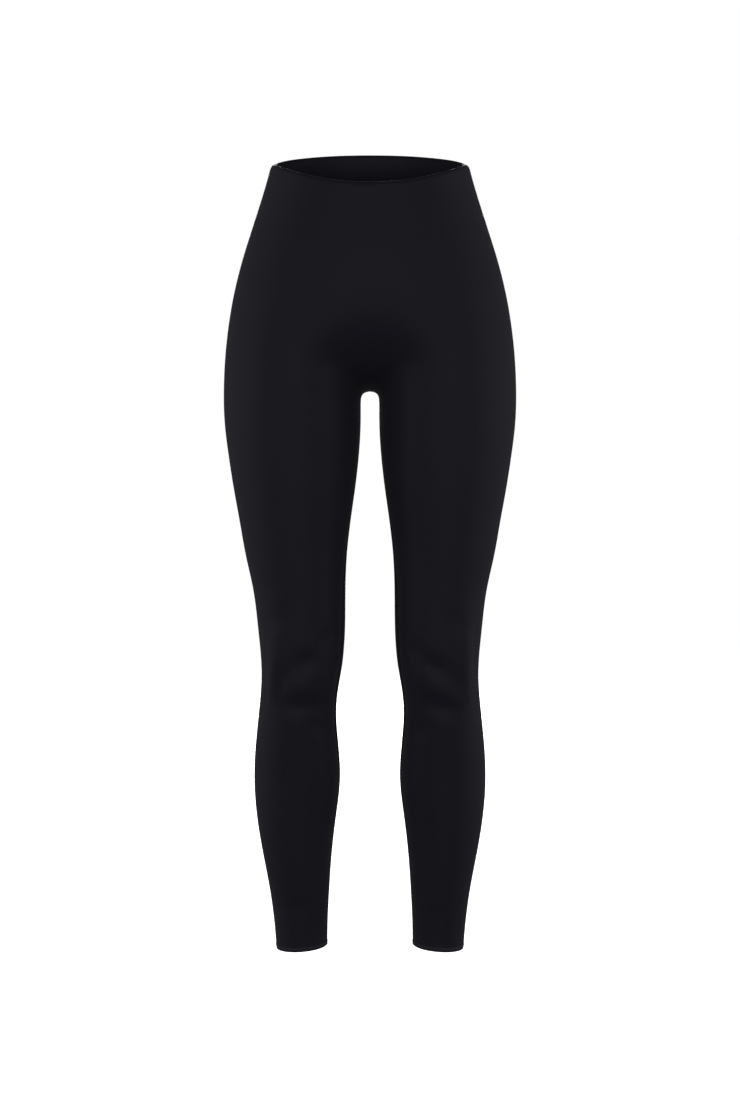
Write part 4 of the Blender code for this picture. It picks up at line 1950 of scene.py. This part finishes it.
@dataclass(frozen=True)
class Studio:
    """A white room with soft panels of light, a pale floor and a long-lens camera."""

    camera_place: tuple[float, float, float] = (0.0, -5.966, 0.174)
    camera_aim: tuple[float, float, float] = (0.0, 0.0, -0.4605)
    lens: float = 163.5
    sensor: float = 36.0
    floor_height: float = -1.35
    floor_half: float = 30.0
    softboxes: tuple[Softbox, ...] = (
        Softbox("left_side_light", (2.8, -0.6, -0.2), (2.4, 2.8), 41.0),
        Softbox("right_side_light", (-2.8, -0.6, -0.2), (2.4, 2.8), 41.0),
        Softbox("left_edge_light", (2.2, 1.4, -0.2), (1.4, 2.6), 4.7),
        Softbox("right_edge_light", (-2.2, 1.4, -0.2), (1.4, 2.6), 4.7),
        Softbox("high_front_light", (0.0, -5.5, 1.3), (6.0, 1.6), 40.0),
        Softbox("front_light", (0.0, -5.5, -0.3), (6.0, 1.6), 129.0),
        Softbox("back_light", (0.0, 5.5, 0.6), (1.6, 2.4), 125.0),
    )

    def aim(self, made: bpy.types.Object, place: Sequence[float]) -> None:
        """Puts a lamp or the camera in its place, turned to the garment.

        Args:
            made: the lamp or camera.
            place: its place.
        """
        made.location = place
        made.rotation_mode = "QUATERNION"
        way = Vector(self.camera_aim) - Vector(place)
        made.rotation_quaternion = way.to_track_quat("-Z", "Y")

    def light(self, softbox: Softbox) -> None:
        """One soft panel of light, turned to the garment.

        Args:
            softbox: its place, size and power.
        """
        lamp = bpy.data.lights.new(softbox.name, "AREA")
        lamp.shape = "RECTANGLE"
        lamp.size, lamp.size_y = softbox.size
        lamp.energy = softbox.power
        made = in_scene(bpy.data.objects.new(softbox.name, lamp))
        made.visible_camera = False
        self.aim(made, softbox.place)

    def floor(self) -> None:
        """The plain pale floor, which glows as evenly as the room."""
        half, z = self.floor_half, self.floor_height
        points = np.array([(-half, -half, z), (half, -half, z), (half, half, z), (-half, half, z)])
        tree = ShaderTree("pale_floor")
        glow = {"Emission Color": WHITE, "Emission Strength": 1.0}
        material = tree.finish({"Base Color": WHITE, "Roughness": 1.0, **glow})
        made = mesh_object("floor", points, np.array([[0, 1, 2, 3]]), material)
        for kind in ("visible_diffuse", "visible_glossy", "visible_shadow"):
            setattr(made, kind, False)

    def world(self) -> None:
        """An even white surrounding, which gives no light of its own."""
        made = bpy.data.worlds.new("white_room")
        made.use_nodes = True
        back = made.node_tree.nodes["Background"]
        back.inputs["Color"].default_value = WHITE
        made.cycles_visibility.diffuse = False
        made.cycles_visibility.glossy = False
        bpy.context.scene.world = made

    def camera(self) -> None:
        """The camera, level with the hips and looking slightly down."""
        data = bpy.data.cameras.new("camera")
        data.lens = self.lens
        data.sensor_width = self.sensor
        made = in_scene(bpy.data.objects.new("camera", data))
        self.aim(made, self.camera_place)
        bpy.context.scene.camera = made

    def build(self) -> None:
        """Makes all of it."""
        self.world()
        self.floor()
        for softbox in self.softboxes:
            self.light(softbox)
        self.camera()
        bpy.context.scene.view_settings.view_transform = "Standard"


def main() -> None:
    """Builds the leggings and the studio."""
    logging.basicConfig(level=logging.INFO, format="%(name)s %(message)s")
    form = WornForm()
    relief = Relief(form)
    hem = Hem()
    edge = form.hem_height
    wrong_side = WRONG_SIDE_PAINTED_LIGHTER.make(edge)
    leg_knit = Cloth(LEG_KNIT.make(edge), wrong_side)
    band_knit = Cloth(BAND_KNIT.make(edge), wrong_side)
    stretch = Stretch()
    band = Waistband(form, relief, stretch, band_knit)
    panels = Panels(form, relief, hem, stretch, leg_knit)
    for face in Face:
        declare_cloth(band.build(face), "waistband_" + face.name.lower())
    declare_cloth(panels.front(), "front_panel")
    for side in Side:
        declare_cloth(panels.back(side), "back_panel_" + side.name[0].lower())
    for stitches in Sewing(form, relief, hem, SEAM_THREAD.make(), HEM_THREAD_PAINTED_SHEEN.make()).build():
        declare(stitches)
    Studio().build()


if __name__ == "__main__":
    main()
